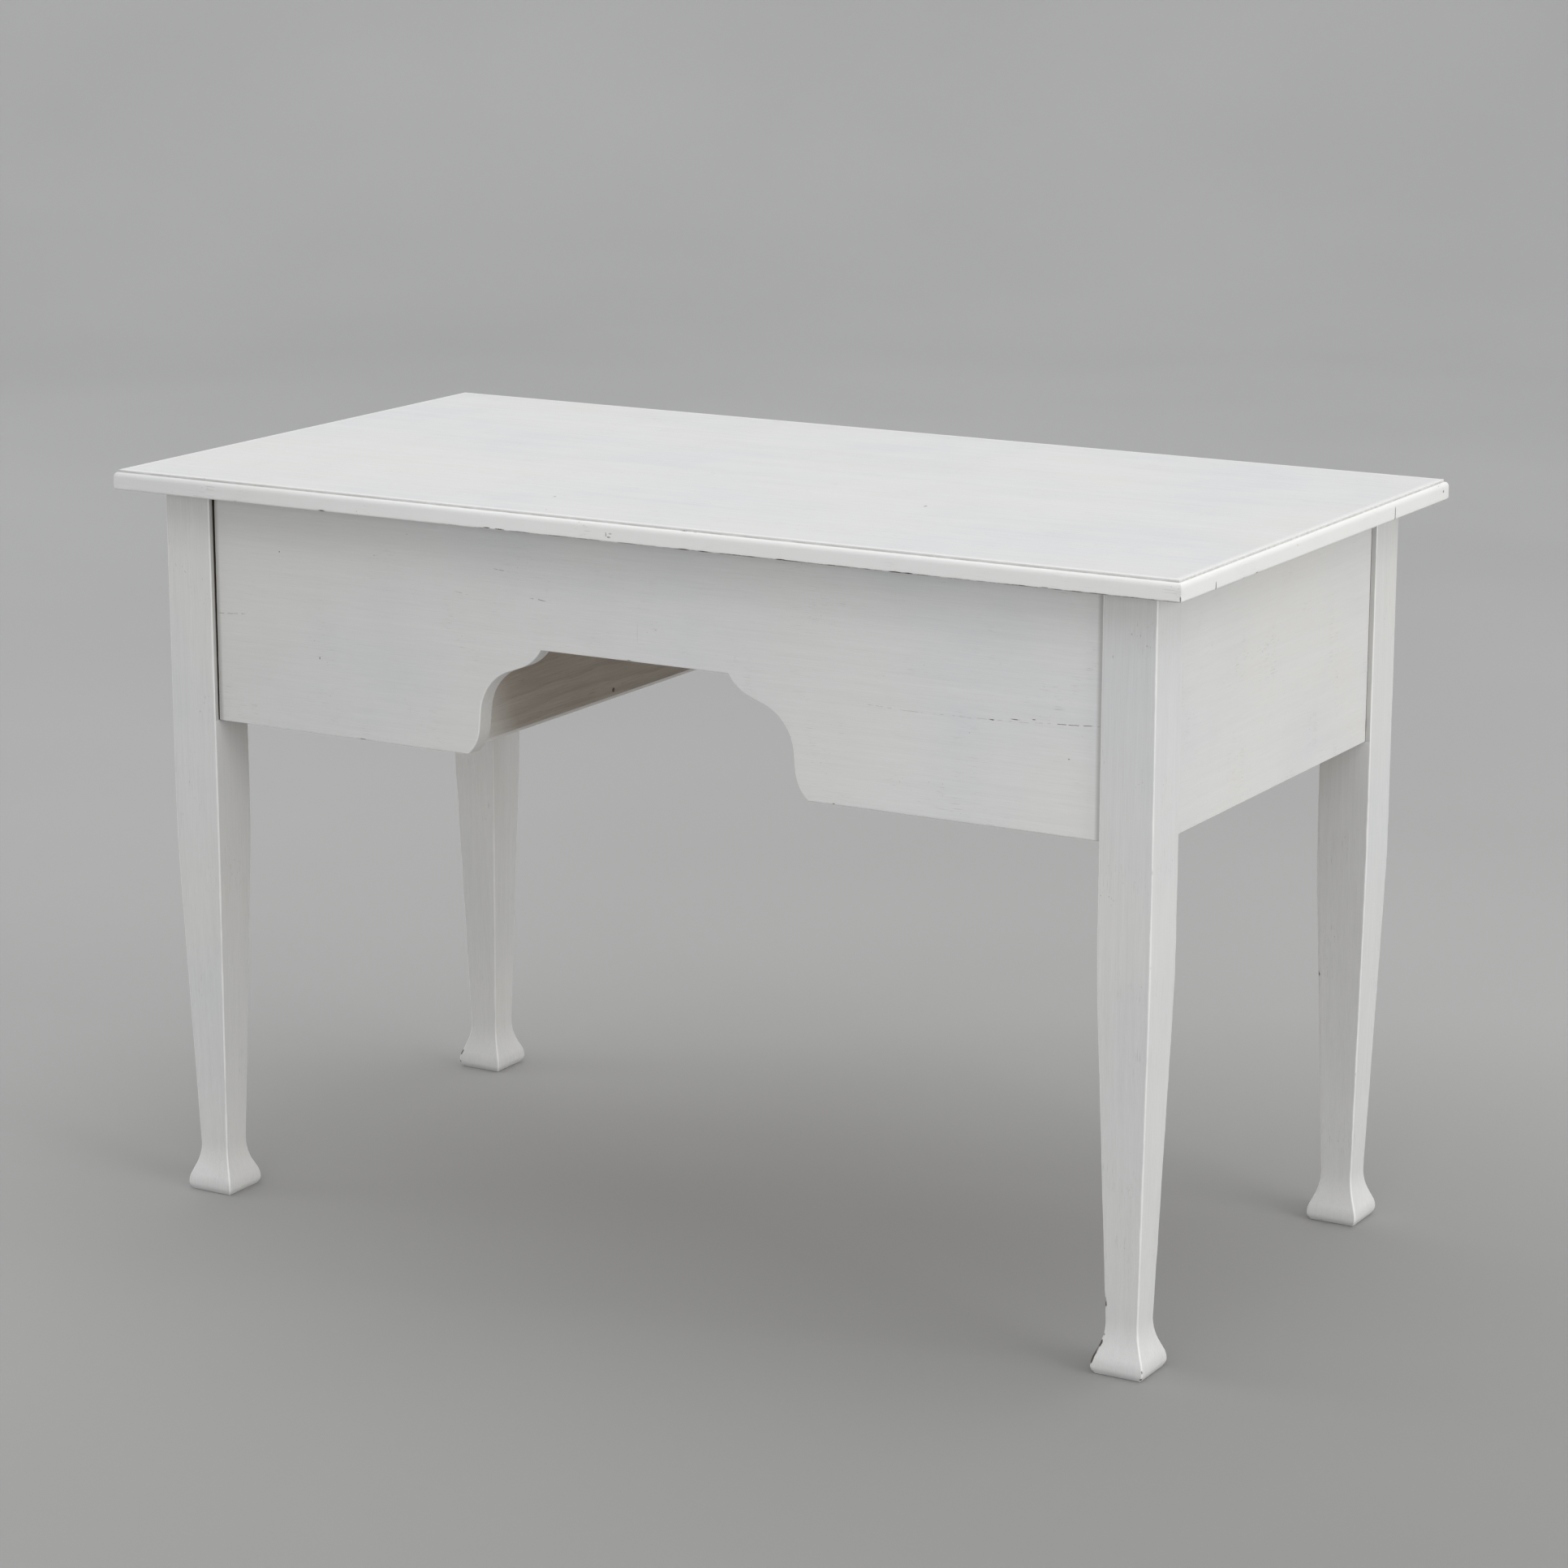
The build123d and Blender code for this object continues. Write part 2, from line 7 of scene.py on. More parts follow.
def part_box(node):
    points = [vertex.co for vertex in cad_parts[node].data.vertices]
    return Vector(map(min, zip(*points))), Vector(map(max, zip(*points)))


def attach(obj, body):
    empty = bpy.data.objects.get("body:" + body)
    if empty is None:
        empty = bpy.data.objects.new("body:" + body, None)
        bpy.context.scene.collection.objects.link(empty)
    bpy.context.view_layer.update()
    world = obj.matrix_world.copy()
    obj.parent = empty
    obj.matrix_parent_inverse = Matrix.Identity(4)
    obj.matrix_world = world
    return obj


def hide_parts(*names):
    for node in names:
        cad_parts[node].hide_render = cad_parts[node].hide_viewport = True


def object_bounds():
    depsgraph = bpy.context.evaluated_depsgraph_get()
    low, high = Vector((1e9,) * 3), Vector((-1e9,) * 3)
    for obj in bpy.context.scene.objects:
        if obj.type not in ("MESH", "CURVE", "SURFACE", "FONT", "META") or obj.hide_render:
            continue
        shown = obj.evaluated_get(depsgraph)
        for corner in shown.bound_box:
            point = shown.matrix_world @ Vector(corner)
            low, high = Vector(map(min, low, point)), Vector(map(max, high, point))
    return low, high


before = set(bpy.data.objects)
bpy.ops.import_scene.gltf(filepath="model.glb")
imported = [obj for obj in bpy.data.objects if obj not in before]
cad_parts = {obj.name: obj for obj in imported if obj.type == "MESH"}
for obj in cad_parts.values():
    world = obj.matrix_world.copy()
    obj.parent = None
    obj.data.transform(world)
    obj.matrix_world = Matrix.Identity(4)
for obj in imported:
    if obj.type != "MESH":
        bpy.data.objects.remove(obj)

# Looks of the sewing table. Metres, in the frame's axes: +X along the table, -Y the side with
# the cut-out apron, +Y the drawer side, +Z up.

CAD_BOX = [list(corner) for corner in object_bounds()]
MM = 0.001
FRAME_BODY = "table_frame"
SIDES = {"left": -1, "right": 1}
ENDS = ("front", "back")
DRAWERS = ("left", "center", "right")
AXES = "XYZ"

LOW, HIGH = (Vector(corner) for corner in CAD_BOX)
TOP_Z = HIGH.z
UNDERSIDE_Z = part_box("top_plank_1")[0].z
BOARD_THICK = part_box("apron_board")[1].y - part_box("apron_board")[0].y
SHARP_ANGLE = math.radians(38)
NORMAL_WEIGHT = 90


# ---- mesh tools -----------------------------------------------------------------------------


def wobble(point, size, seed=0.0):
    """Smooth noise between about -1 and 1 that changes over a distance of about size metres."""
    return noise.noise(Vector(point) / size + Vector((seed, seed * 1.7, seed * 2.3)))


def smooth_step(low, high, value):
    """0 at low, 1 at high and a smooth rise between; low may be above high."""
    t = min(1.0, max(0.0, (value - low) / (high - low)))
    return t * t * (3 - 2 * t)


def runs(low, high, step, near_low=(), near_high=()):
    """Places from low to high: at the near distances from each end, and about step apart between."""
    head = [low] + [low + n for n in near_low]
    tail = [high - n for n in reversed(near_high)] + [high]
    count = max(1, round((tail[0] - head[-1]) / step))
    inner = [head[-1] + (tail[0] - head[-1]) * k / count for k in range(1, count)]
    return head + inner + tail


def corner_arc(before, corner, after, radius, degrees):
    """Points of the arc that rounds a corner of a line to a radius."""
    back, ahead = (before - corner).normalized(), (after - corner).normalized()
    half = back.angle(ahead) / 2
    center = corner + (back + ahead).normalized() * radius / math.sin(half)
    first = corner + back * radius / math.tan(half) - center
    last = corner + ahead * radius / math.tan(half) - center
    sweep = math.pi - 2 * half
    count = max(2, math.ceil(math.degrees(sweep) / degrees))
    arc = []
    for k in range(count + 1):
        t = k / count
        turned = first * math.sin((1 - t) * sweep) + last * math.sin(t * sweep)
        arc.append(center + turned / math.sin(sweep))
    return arc


def rounded_line(corners, radii, degrees=2.0):
    """An open line through the corners, each inner one rounded to its radius."""
    corners = [Vector(c) for c in corners]
    points = [corners[0]]
    for before, corner, after, radius in zip(corners, corners[1:], corners[2:], radii):
        points += corner_arc(before, corner, after, radius, degrees)
    points.append(corners[-1])
    return points


def divided(points, step, closed=False):
    """The same line with its long runs cut into pieces of about step."""
    ends = points[1:] + points[:1] if closed else points[1:]
    fine = []
    for start, end in zip(points, ends):
        count = max(1, round((end - start).length / step))
        fine += [start.lerp(end, k / count) for k in range(count)]
    if not closed:
        fine.append(points[-1])
    return fine


def smooth_line(points, parts):
    """A Catmull-Rom curve through the points, each run cut into parts."""
    line = [points[0]]
    for p0, p1, p2, p3 in zip(points[:1] + points, points, points[1:], points[2:] + points[-1:]):
        for step in range(1, parts + 1):
            t = step / parts
            bend = (2 * p0 - 5 * p1 + 4 * p2 - p3) * t**2 + (3 * p1 - p0 - 3 * p2 + p3) * t**3
            line.append(0.5 * (2 * p1 + (p2 - p0) * t + bend))
    return line


def miters(outline):
    """At each point of a counter-clockwise outline, the step that moves both its runs in by one unit."""
    steps = []
    for before, point, after in zip(outline[-1:] + outline[:-1], outline, outline[1:] + outline[:1]):
        one, two = (point - before).normalized(), (after - point).normalized()
        inward = Vector((-one.y - two.y, one.x + two.x))
        steps.append(inward / (1 + one.dot(two)))
    return steps


def skin(rings):
    """Quads that join equal rings in order, with a cap at each end."""
    count = len(rings[0])
    faces = []
    for level in range(len(rings) - 1):
        low, high = level * count, (level + 1) * count
        for i in range(count):
            j = (i + 1) % count
            faces.append((low + i, low + j, high + j, high + i))
    faces.append(tuple(reversed(range(count))))
    faces.append(tuple(range((len(rings) - 1) * count, len(rings) * count)))
    return faces


def add_box(verts, faces, low, high):
    """Adds a plain closed block, such as a tenon, to a piece."""
    start = len(verts)
    for z in (low[2], high[2]):
        for x, y in ((low[0], low[1]), (high[0], low[1]), (high[0], high[1]), (low[0], high[1])):
            verts.append(Vector((x, y, z)))
    faces += [
        tuple(start + i for i in face)
        for face in ((3, 2, 1, 0), (4, 5, 6, 7), (0, 1, 5, 4), (1, 2, 6, 5), (2, 3, 7, 6), (3, 0, 4, 7))
    ]


def new_piece(name, verts, faces, material, body, replaced, marks):
    """Makes the mesh object with its marks, shades it, and ties it to the frame.
    Points past the end of a list of marks, such as a tenon's, have none."""
    mesh = bpy.data.meshes.new(name)
    mesh.from_pydata([tuple(v) for v in verts], [], faces)
    for key, values in marks.items():
        values = values + [0.0] * (len(verts) - len(values))
        mesh.attributes.new(key, "FLOAT", "POINT").data.foreach_set("value", values)
    mesh.shade_smooth()
    mesh.set_sharp_from_angle(angle=SHARP_ANGLE)
    mesh.materials.append(material)
    piece = bpy.data.objects.new(name, mesh)
    bpy.context.scene.collection.objects.link(piece)
    weighted = piece.modifiers.new("weighted", "WEIGHTED_NORMAL")
    weighted.keep_sharp = True
    weighted.weight = NORMAL_WEIGHT
    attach(piece, body)
    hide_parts(replaced)
    return piece


def nick(point, size, rarity, seed=0.0):
    """From 0, over most of a surface, to 1 at the bottom of a few small dents."""
    return smooth_step(rarity, rarity + 0.2, wobble(point, size, seed))


# ---- material tools -------------------------------------------------------------------------


PLAIN_NOISE = 0.5


class Paint:
    """A material being made: adds nodes and links their sockets."""

    def __init__(self, name):
        self.material = bpy.data.materials.new(name)
        self.material.use_nodes = True
        self.tree = self.material.node_tree
        self.tree.nodes.clear()
        self.place = self.node("ShaderNodeTexCoord").outputs["Object"]

    def node(self, kind, inputs=None, **settings):
        node = self.tree.nodes.new(kind)
        for key, value in settings.items():
            setattr(node, key, value)
        for key, value in (inputs or {}).items():
            self.feed(node.inputs[key], value)
        return node

    def feed(self, socket, value):
        if isinstance(value, bpy.types.NodeSocket):
            self.tree.links.new(value, socket)
        else:
            socket.default_value = value

    def math(self, operation, first, second=0.0, third=0.0):
        inputs = {0: first, 1: second, 2: third}
        return self.node("ShaderNodeMath", inputs, operation=operation).outputs[0]

    def map(self, value, low, high, to_low=0.0, to_high=1.0):
        """Value moved from the range low..high to to_low..to_high, and kept inside it."""
        inputs = {"Value": value, "From Min": low, "From Max": high, "To Min": to_low, "To Max": to_high}
        return self.node("ShaderNodeMapRange", inputs, clamp=True).outputs["Result"]

    def within(self, value, low, high, soft=0.3 * MM):
        """1 where value is between low and high, and 0 outside, with a short blend at both."""
        above = self.map(value, low - soft, low + soft)
        below = self.map(value, high - soft, high + soft, 1.0, 0.0)
        return self.math("MULTIPLY", above, below)

    def mix(self, factor, first, second, blend="MIX"):
        """Colour between first, at factor 0, and second, at factor 1."""
        node = self.node("ShaderNodeMix", data_type="RGBA", blend_type=blend)
        for socket, value in zip((node.inputs[0], node.inputs[6], node.inputs[7]), (factor, first, second)):
            self.feed(socket, (*value, 1.0) if isinstance(value, tuple) else value)
        return node.outputs[2]

    def shade(self, color, factor):
        """Colour times a grey factor."""
        inputs = {"Red": factor, "Green": factor, "Blue": factor}
        grey = self.node("ShaderNodeCombineColor", inputs).outputs[0]
        return self.mix(1.0, color, grey, "MULTIPLY")

    def mark(self, name):
        """A mark that the mesh carries; 0 on a mesh that has none."""
        return self.node("ShaderNodeAttribute", attribute_name=name).outputs["Fac"]

    def coordinate(self, axis):
        return self.node("ShaderNodeSeparateXYZ", {0: self.place}).outputs[axis]

    def along(self, grain, length, width, shift=0.0):
        """Coordinates for a pattern whose marks are length long in the grain and width across it."""
        scale = [1 / width] * 3
        scale[AXES.index(grain)] = 1 / length
        inputs = {"Vector": self.place, "Scale": scale, "Location": (shift, shift, shift)}
        return self.node("ShaderNodeMapping", inputs).outputs[0]

    def noise(self, vector, detail, roughness):
        inputs = {"Vector": vector, "Scale": 1.0, "Detail": detail, "Roughness": roughness}
        return self.node("ShaderNodeTexNoise", inputs).outputs["Fac"]

    def pattern(self, grain, kind):
        """Noise along the grain, of a kind given as (length, width, shift, detail, roughness)."""
        length, width, shift, detail, roughness = kind
        return self.noise(self.along(grain, length, width, shift), detail, roughness)

    def cloud(self, size, detail=2.0, shift=0.0):
        """Even noise whose patches are about size metres across."""
        return self.pattern("X", (size, size, shift, detail, PLAIN_NOISE))

    def bump(self, height, distance, strength, normal=None):
        inputs = {"Height": height, "Distance": distance, "Strength": strength}
        if normal is not None:
            inputs["Normal"] = normal
        return self.node("ShaderNodeBump", inputs).outputs[0]

    def surface(self, color, roughness, normal, specular=0.5, metallic=0.0):
        """Closes the material with one shader."""
        inputs = {
            "Base Color": color,
            "Roughness": roughness,
            "Normal": normal,
            "Specular IOR Level": specular,
            "Metallic": metallic,
        }
        shader = self.node("ShaderNodeBsdfPrincipled", inputs)
        output = self.node("ShaderNodeOutputMaterial")
        self.tree.links.new(shader.outputs[0], output.inputs[0])
        return self.material


# ---- materials ------------------------------------------------------------------------------

WHITE = (0.785, 0.785, 0.780)
COOL_WHITE = (0.715, 0.724, 0.742)
WARM_WHITE = (0.772, 0.764, 0.742)
PAINTED_HIGHLIGHT_WHITE = (0.93, 0.93, 0.92)
DIRT_AND_SHADE_GREY = (0.33, 0.32, 0.30)
OLD_WOOD_AND_SHADE = (0.085, 0.066, 0.052)
PINE = (0.56, 0.39, 0.23)
PINE_DARK = (0.34, 0.20, 0.10)
GREY_WOOD = (0.640, 0.590, 0.525)
GREY_WOOD_DARK = (0.470, 0.420, 0.360)
OVERSPRAY_AND_LIGHT = (0.92, 0.915, 0.89)
CARCASS_PINE = (0.42, 0.30, 0.19)
CARCASS_PINE_DARK = (0.25, 0.155, 0.085)
STEEL = (0.19, 0.18, 0.17)
RUST = (0.14, 0.062, 0.030)

# Patterns that run with the grain: length and width in metres, shift, detail and roughness.
RING_DRIFT = (0.42, 0.07, 0.0, 3.0, 0.5)
WOOD_FIBRE = (0.060, 0.0011, 0.0, 3.0, 0.6)
WOOD_PORES = (0.016, 0.0006, 3.0, 1.0, PLAIN_NOISE)
BRUSH_SWEEP = (0.30, 0.022, 2.0, 3.0, 0.6)
BRUSH_STREAK = (0.24, 0.0046, 0.0, 3.0, 0.62)
BRISTLE = (0.085, 0.0012, 4.0, 3.0, 0.65)
FIBRE_UNDER_PAINT = (0.030, 0.00055, 7.0, 2.0, 0.6)
SCRATCHES = (0.017, 0.00050, 17.0, 1.0, PLAIN_NOISE)
SPECKS = (0.0030, 0.0016, 21.0, 0.0, PLAIN_NOISE)
RUBBING = (0.020, 0.006, 31.0, 4.0, 0.7)
RAGGED_PAINT = (0.012, 0.004, 41.0, 3.0, 0.7)
RAGGED_CHIP = (0.0016, 0.0008, 51.0, 2.0, PLAIN_NOISE)
MIST_AND_LIGHT_DRIFT = (0.09, 0.020, 0.0, 4.0, PLAIN_NOISE)
STEEL_SCUFF = (0.004, 0.0004, 5.0, 3.0, PLAIN_NOISE)
CRACK_STRAY_LENGTH = 0.030
CRACK_DASH_LENGTH = 0.0055
CRACK_PATTERN_WIDTH = 10.0

HEART_HEIGHT = 0.585
HEART_SPACING = 0.13
HEART_SHIFT = 0.07
RING_WIDTH = 6.5 * MM
RING_WANDER = 5.5


def wood_color(p, grain, light, dark, contrast=1.0):
    """Sawn softwood: growth rings round a heart that runs with the grain, fine fibres and short dark
    pores. Gives the colour, the fibres and the rings."""
    across = p.math("ADD", p.coordinate("Y" if grain == "X" else "X"), HEART_SHIFT)
    sideways = p.math("PINGPONG", across, HEART_SPACING)
    upright = p.math("SUBTRACT", p.coordinate("Z"), HEART_HEIGHT)
    span = p.node("ShaderNodeCombineXYZ", {"X": sideways, "Y": upright})
    radius = p.node("ShaderNodeVectorMath", {0: span.outputs[0]}, operation="LENGTH").outputs["Value"]
    rings = p.math("DIVIDE", radius, RING_WIDTH)
    rings = p.math("FRACT", p.math("MULTIPLY_ADD", p.pattern(grain, RING_DRIFT), RING_WANDER, rings))
    ring = p.math("MULTIPLY", p.map(rings, 0.25, 0.90), p.map(rings, 1.0, 0.93))
    fibre = p.pattern(grain, WOOD_FIBRE)
    pores = p.map(p.pattern(grain, WOOD_PORES), 0.66, 0.74)
    color = p.mix(p.map(ring, 0.1, 1.0, 0.0, 0.75 * contrast), light, dark)
    color = p.shade(color, p.map(fibre, 0.3, 0.7, 1 - 0.16 * contrast, 1 + 0.12 * contrast))
    color = p.shade(color, p.map(p.cloud(0.20, 3.0, 9.0), 0.35, 0.65, 0.88, 1.08))
    color = p.mix(p.math("MULTIPLY", pores, 0.45 * contrast), color, OLD_WOOD_AND_SHADE)
    return color, fibre, ring


CRACK_STRAY = 0.9 * MM
CRACK_FADE_IN = 4 * MM
CRACK_PAST_END = 1 * MM


def worn_cracks(p, cracks):
    """Mask of thin drying cracks in a face across Y: each is (x0, z0, x1, z1, width, open share, depth)."""
    x, z = p.coordinate("X"), p.coordinate("Z")
    total = None
    for x0, z0, x1, z1, width, share, depth in cracks:
        slope = (z1 - z0) / (x1 - x0)
        line = p.math("MULTIPLY_ADD", x, slope, z0 - slope * x0)
        stray = p.pattern("X", (CRACK_STRAY_LENGTH, CRACK_PATTERN_WIDTH, x0, 3.0, PLAIN_NOISE))
        line = p.math("ADD", line, p.map(stray, 0.25, 0.75, -CRACK_STRAY, CRACK_STRAY))
        away = p.math("ABSOLUTE", p.math("SUBTRACT", z, line))
        dashes = p.pattern("X", (CRACK_DASH_LENGTH, CRACK_PATTERN_WIDTH, z0, 2.0, PLAIN_NOISE))
        dashes = p.map(dashes, 0.62 - share * 0.3, 0.70 - share * 0.3)
        core = p.map(away, width * 0.4, width, depth, 0.0)
        begun = p.map(x, x0 - CRACK_PAST_END, x0 + CRACK_FADE_IN)
        not_over = p.map(x, x1 - CRACK_FADE_IN, x1 + CRACK_PAST_END, 1.0, 0.0)
        one = p.math("MULTIPLY", core, p.math("MULTIPLY", p.math("MULTIPLY", begun, not_over), dashes))
        total = one if total is None else p.math("MAXIMUM", total, one)
    return total


def flecks(p, spots):
    """Mask of small chips and knots: each is (x, y, z, reach along each axis in mm, depth)."""
    total = None
    ragged = p.map(p.pattern("X", RAGGED_CHIP), 0.2, 0.8, -0.45, 0.45)
    for x, y, z, reach, depth in spots:
        scale = [1 / (r * MM) for r in reach]
        near = p.node("ShaderNodeVectorMath", {0: p.place, 1: (x, y, z)}, operation="SUBTRACT").outputs[0]
        near = p.node("ShaderNodeVectorMath", {0: near, 1: scale}, operation="MULTIPLY").outputs[0]
        away = p.node("ShaderNodeVectorMath", {0: near}, operation="LENGTH").outputs["Value"]
        one = p.map(p.math("ADD", away, ragged), 0.6, 1.0, depth, 0.0)
        total = one if total is None else p.math("MAXIMUM", total, one)
    return total


BOARD_OUTLINE_SLACK = 0.2 * MM
# Dusty corners with painted shade where the boards meet the legs.
DUST_AND_SHADE_REACH = 4.5 * MM
DUST_AND_SHADE_ON_LEG = 0.38
DUST_AND_SHADE_ON_APRON = 0.55
DUST_AND_SHADE_WIDTH = 3.5 * MM
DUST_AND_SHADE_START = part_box("front_right_leg")[0].x - 7.5 * MM


def joint_wood_and_shade(p):
    """Masks of a leg's sides: the old wood behind the apron and end boards, dark enough to stand in for the
    deep shade of the gap, and the corners beside them, dusty and with painted shade.
    """
    front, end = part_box("apron_board"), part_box("right_end_board")
    leg_low, leg_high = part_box("front_right_leg")
    x, y = (p.math("ABSOLUTE", p.coordinate(axis)) for axis in "XY")
    tall = p.map(p.coordinate("Z"), front[0].z - 0.5 * MM, front[0].z + 0.5 * MM)
    beside_front = p.map(x, leg_low.x + 0.5 * MM, leg_low.x + 1.0 * MM, 1.0, 0.0)
    beside_end = p.map(y, -leg_high.y + 0.5 * MM, -leg_high.y + 1.0 * MM, 1.0, 0.0)
    masks = []
    for low, high in ((-BOARD_THICK, -BOARD_OUTLINE_SLACK), (-BOARD_OUTLINE_SLACK, DUST_AND_SHADE_REACH)):
        in_front = p.math("MULTIPLY", beside_front, p.within(y, low - front[0].y, high - front[0].y))
        in_end = p.math("MULTIPLY", beside_end, p.within(x, low + end[1].x, high + end[1].x))
        masks.append(p.math("MULTIPLY", tall, p.math("MAXIMUM", in_front, in_end)))
    return masks


def brush_marks(p, grain):
    """The broad sweeps and fine streaks of the brush, and the fibres of the wood under the paint."""
    bristles = p.math("MULTIPLY", p.pattern(grain, BRISTLE), 0.45)
    streak = p.math("MULTIPLY_ADD", p.pattern(grain, BRUSH_STREAK), 0.55, bristles)
    return p.pattern(grain, BRUSH_SWEEP), streak, p.pattern(grain, FIBRE_UNDER_PAINT)


UNDER_TOP_REACH = 65 * MM
UNDER_TOP_SHADE = 0.91


def white_coat(p, brushing, cover, streaks, painted_light_ramp):
    """Colour of sound paint: an uneven white, with painted shade close under the top, painted light that
    changes from the table's left end to its right, and a painted highlight where the mesh is marked.
    """
    sweep, streak, fibre = brushing
    tone = p.mix(p.map(p.cloud(0.26, 3.0), 0.38, 0.62), COOL_WHITE, WARM_WHITE)
    thin = p.math("MULTIPLY_ADD", p.cloud(0.075, 3.0, 5.0), 0.45, p.math("MULTIPLY", sweep, 0.55))
    color = p.mix(p.map(thin, 0.36, 0.62, 0.25, 0.85 * cover), tone, WHITE)
    color = p.shade(color, p.map(streak, 0.33, 0.67, 1 - 0.035 * streaks, 1 + 0.025 * streaks))
    color = p.shade(color, p.map(fibre, 0.30, 0.62, 1 - 0.035 * streaks, 1.01))
    # Painted shade under the overhang of the top, stopped at the top's underside.
    height = p.coordinate("Z")
    shade = p.map(height, UNDERSIDE_Z - UNDER_TOP_REACH, UNDERSIDE_Z - 4 * MM, 1.0, UNDER_TOP_SHADE)
    above = p.map(height, UNDERSIDE_Z - 0.2 * MM, UNDERSIDE_Z)
    color = p.shade(color, p.math("MAXIMUM", shade, above))
    # Painted light: lighter or darker from the table's left end to its right, as the lamps fall on it.
    if painted_light_ramp[0] != painted_light_ramp[1]:
        color = p.shade(color, p.map(p.coordinate("X"), LOW.x, HIGH.x, *painted_light_ramp))
    # Painted highlight where the mesh marks it, on the nosing.
    return p.mix(p.math("MULTIPLY", p.mark("fresh"), 0.8), color, PAINTED_HIGHLIGHT_WHITE)


def scratched(p, grain, color):
    """The colour with fine scratches and specks of dirt in patches, and the scratches."""
    rare = p.map(p.cloud(0.055, 2.0, 13.0), 0.52, 0.64)
    scratch = p.math("MULTIPLY", p.map(p.pattern(grain, SCRATCHES), 0.655, 0.72), rare)
    specks = p.math("MULTIPLY", p.map(p.pattern(grain, SPECKS), 0.80, 0.86), rare)
    flaws = p.math("MAXIMUM", p.math("MULTIPLY", scratch, 0.40), p.math("MULTIPLY", specks, 0.55))
    return p.mix(flaws, color, DIRT_AND_SHADE_GREY), scratch


def edge_highlight_and_wear(p, rub, color):
    """The colour with a painted highlight along the edges, rubbed dark there in places, and dirt with painted
    shade in the grooves.
    """
    edge = p.mark("edge")
    # Painted highlight along the marked edges.
    color = p.mix(p.math("MULTIPLY", edge, 0.9), color, PAINTED_HIGHLIGHT_WHITE)
    rubbed = p.math("MULTIPLY", p.map(edge, 0.55, 0.9), p.map(rub, 0.655, 0.70))
    color = p.mix(p.math("MULTIPLY", rubbed, 0.5), color, DIRT_AND_SHADE_GREY)
    # Dirt and painted shade in the quirk and grooves.
    grime = p.math("MULTIPLY", p.mark("grime"), p.map(rub, 0.3, 0.6, 0.30, 0.62))
    return p.mix(grime, color, DIRT_AND_SHADE_GREY)


def brushed_paint(
    name, grain, cover=1.0, streaks=1.0, painted_light_ramp=(1.0, 1.0), cracks=(), spots=(), bare=None,
    dust_and_shade_ends=False, joints=False,
):
    """Thin white eggshell paint, brushed on along the grain of old wood that shows through it faintly. Its
    tone changes from the table's left end to its right as painted light, bare is a function of the material
    that gives where the piece was left unpainted, and joints shows what meets a leg, with dark old wood and
    painted shade."""
    p = Paint(name)
    brushing = brush_marks(p, grain)
    color, scratch = scratched(p, grain, white_coat(p, brushing, cover, streaks, painted_light_ramp))
    rub = p.pattern(grain, RUBBING)
    color = edge_highlight_and_wear(p, rub, color)
    # Dusty corners with painted shade on the apron beside the legs.
    if dust_and_shade_ends:
        side = p.math("ABSOLUTE", p.coordinate("X"))
        color = p.mix(p.map(side, DUST_AND_SHADE_START, DUST_AND_SHADE_START + DUST_AND_SHADE_WIDTH, 0.0, DUST_AND_SHADE_ON_APRON), color, DIRT_AND_SHADE_GREY)

    chipped = p.map(p.math("MULTIPLY_ADD", rub, 0.5, p.mark("chip")), 0.62, 0.78)
    # Old wood as dark as the gap's shade behind the boards, and dusty corners with painted shade beside them.
    if joints:
        gap_wood_and_shade, corner_dust_and_shade = joint_wood_and_shade(p)
        color = p.mix(p.math("MULTIPLY", corner_dust_and_shade, DUST_AND_SHADE_ON_LEG), color, DIRT_AND_SHADE_GREY)
        chipped = p.math("MAXIMUM", chipped, gap_wood_and_shade)
    if cracks:
        chipped = p.math("MAXIMUM", chipped, worn_cracks(p, cracks))
    if spots:
        chipped = p.math("MAXIMUM", chipped, flecks(p, spots))
    # Old wood where the paint is chipped or cracked, and painted shade in the gaps by the legs and along the
    # top's lower arris.
    color = p.mix(chipped, color, OLD_WOOD_AND_SHADE)

    _, streak, fibre = brushing
    height = p.math("MULTIPLY_ADD", streak, 0.7, p.math("MULTIPLY", fibre, 0.5))
    height = p.math("MULTIPLY_ADD", chipped, -1.2, height)
    height = p.math("MULTIPLY_ADD", scratch, -0.5, height)
    gloss_of_edges = p.map(p.mark("edge"), 0.2, 1.0, 1.0, 0.58)
    roughness = p.math("MULTIPLY", p.map(streak, 0.3, 0.7, 0.56, 0.40), gloss_of_edges)
    if bare is not None:
        wood, grain_height, _ = wood_color(p, grain, PINE, PINE_DARK)
        ragged = p.math("MULTIPLY_ADD", p.pattern(grain, RAGGED_PAINT), 0.6, bare(p))
        open_wood = p.map(ragged, 0.75, 0.85)
        color = p.mix(open_wood, color, wood)
        height = p.math("MULTIPLY_ADD", p.math("MULTIPLY", open_wood, grain_height), 0.5, height)
        roughness = p.math("MAXIMUM", roughness, p.math("MULTIPLY", open_wood, 0.72))
    normal = p.bump(p.cloud(0.035, 2.0, 23.0), 0.9 * MM, 0.35)
    normal = p.bump(height, 0.28 * MM, 0.55, normal)
    return p.surface(color, roughness, normal, specular=0.42)


def inside_of_rail(p):
    """1 behind the painted front face of a rail or drawer front, and 0 on that face."""
    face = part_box("top_rail")[1].y
    return p.map(p.coordinate("Y"), face - 2.5 * MM, face - 6 * MM)


def unpainted_side(p):
    """1 where the mesh is marked as never painted: under the top, and inside the apron and end boards."""
    return p.mark("bare")


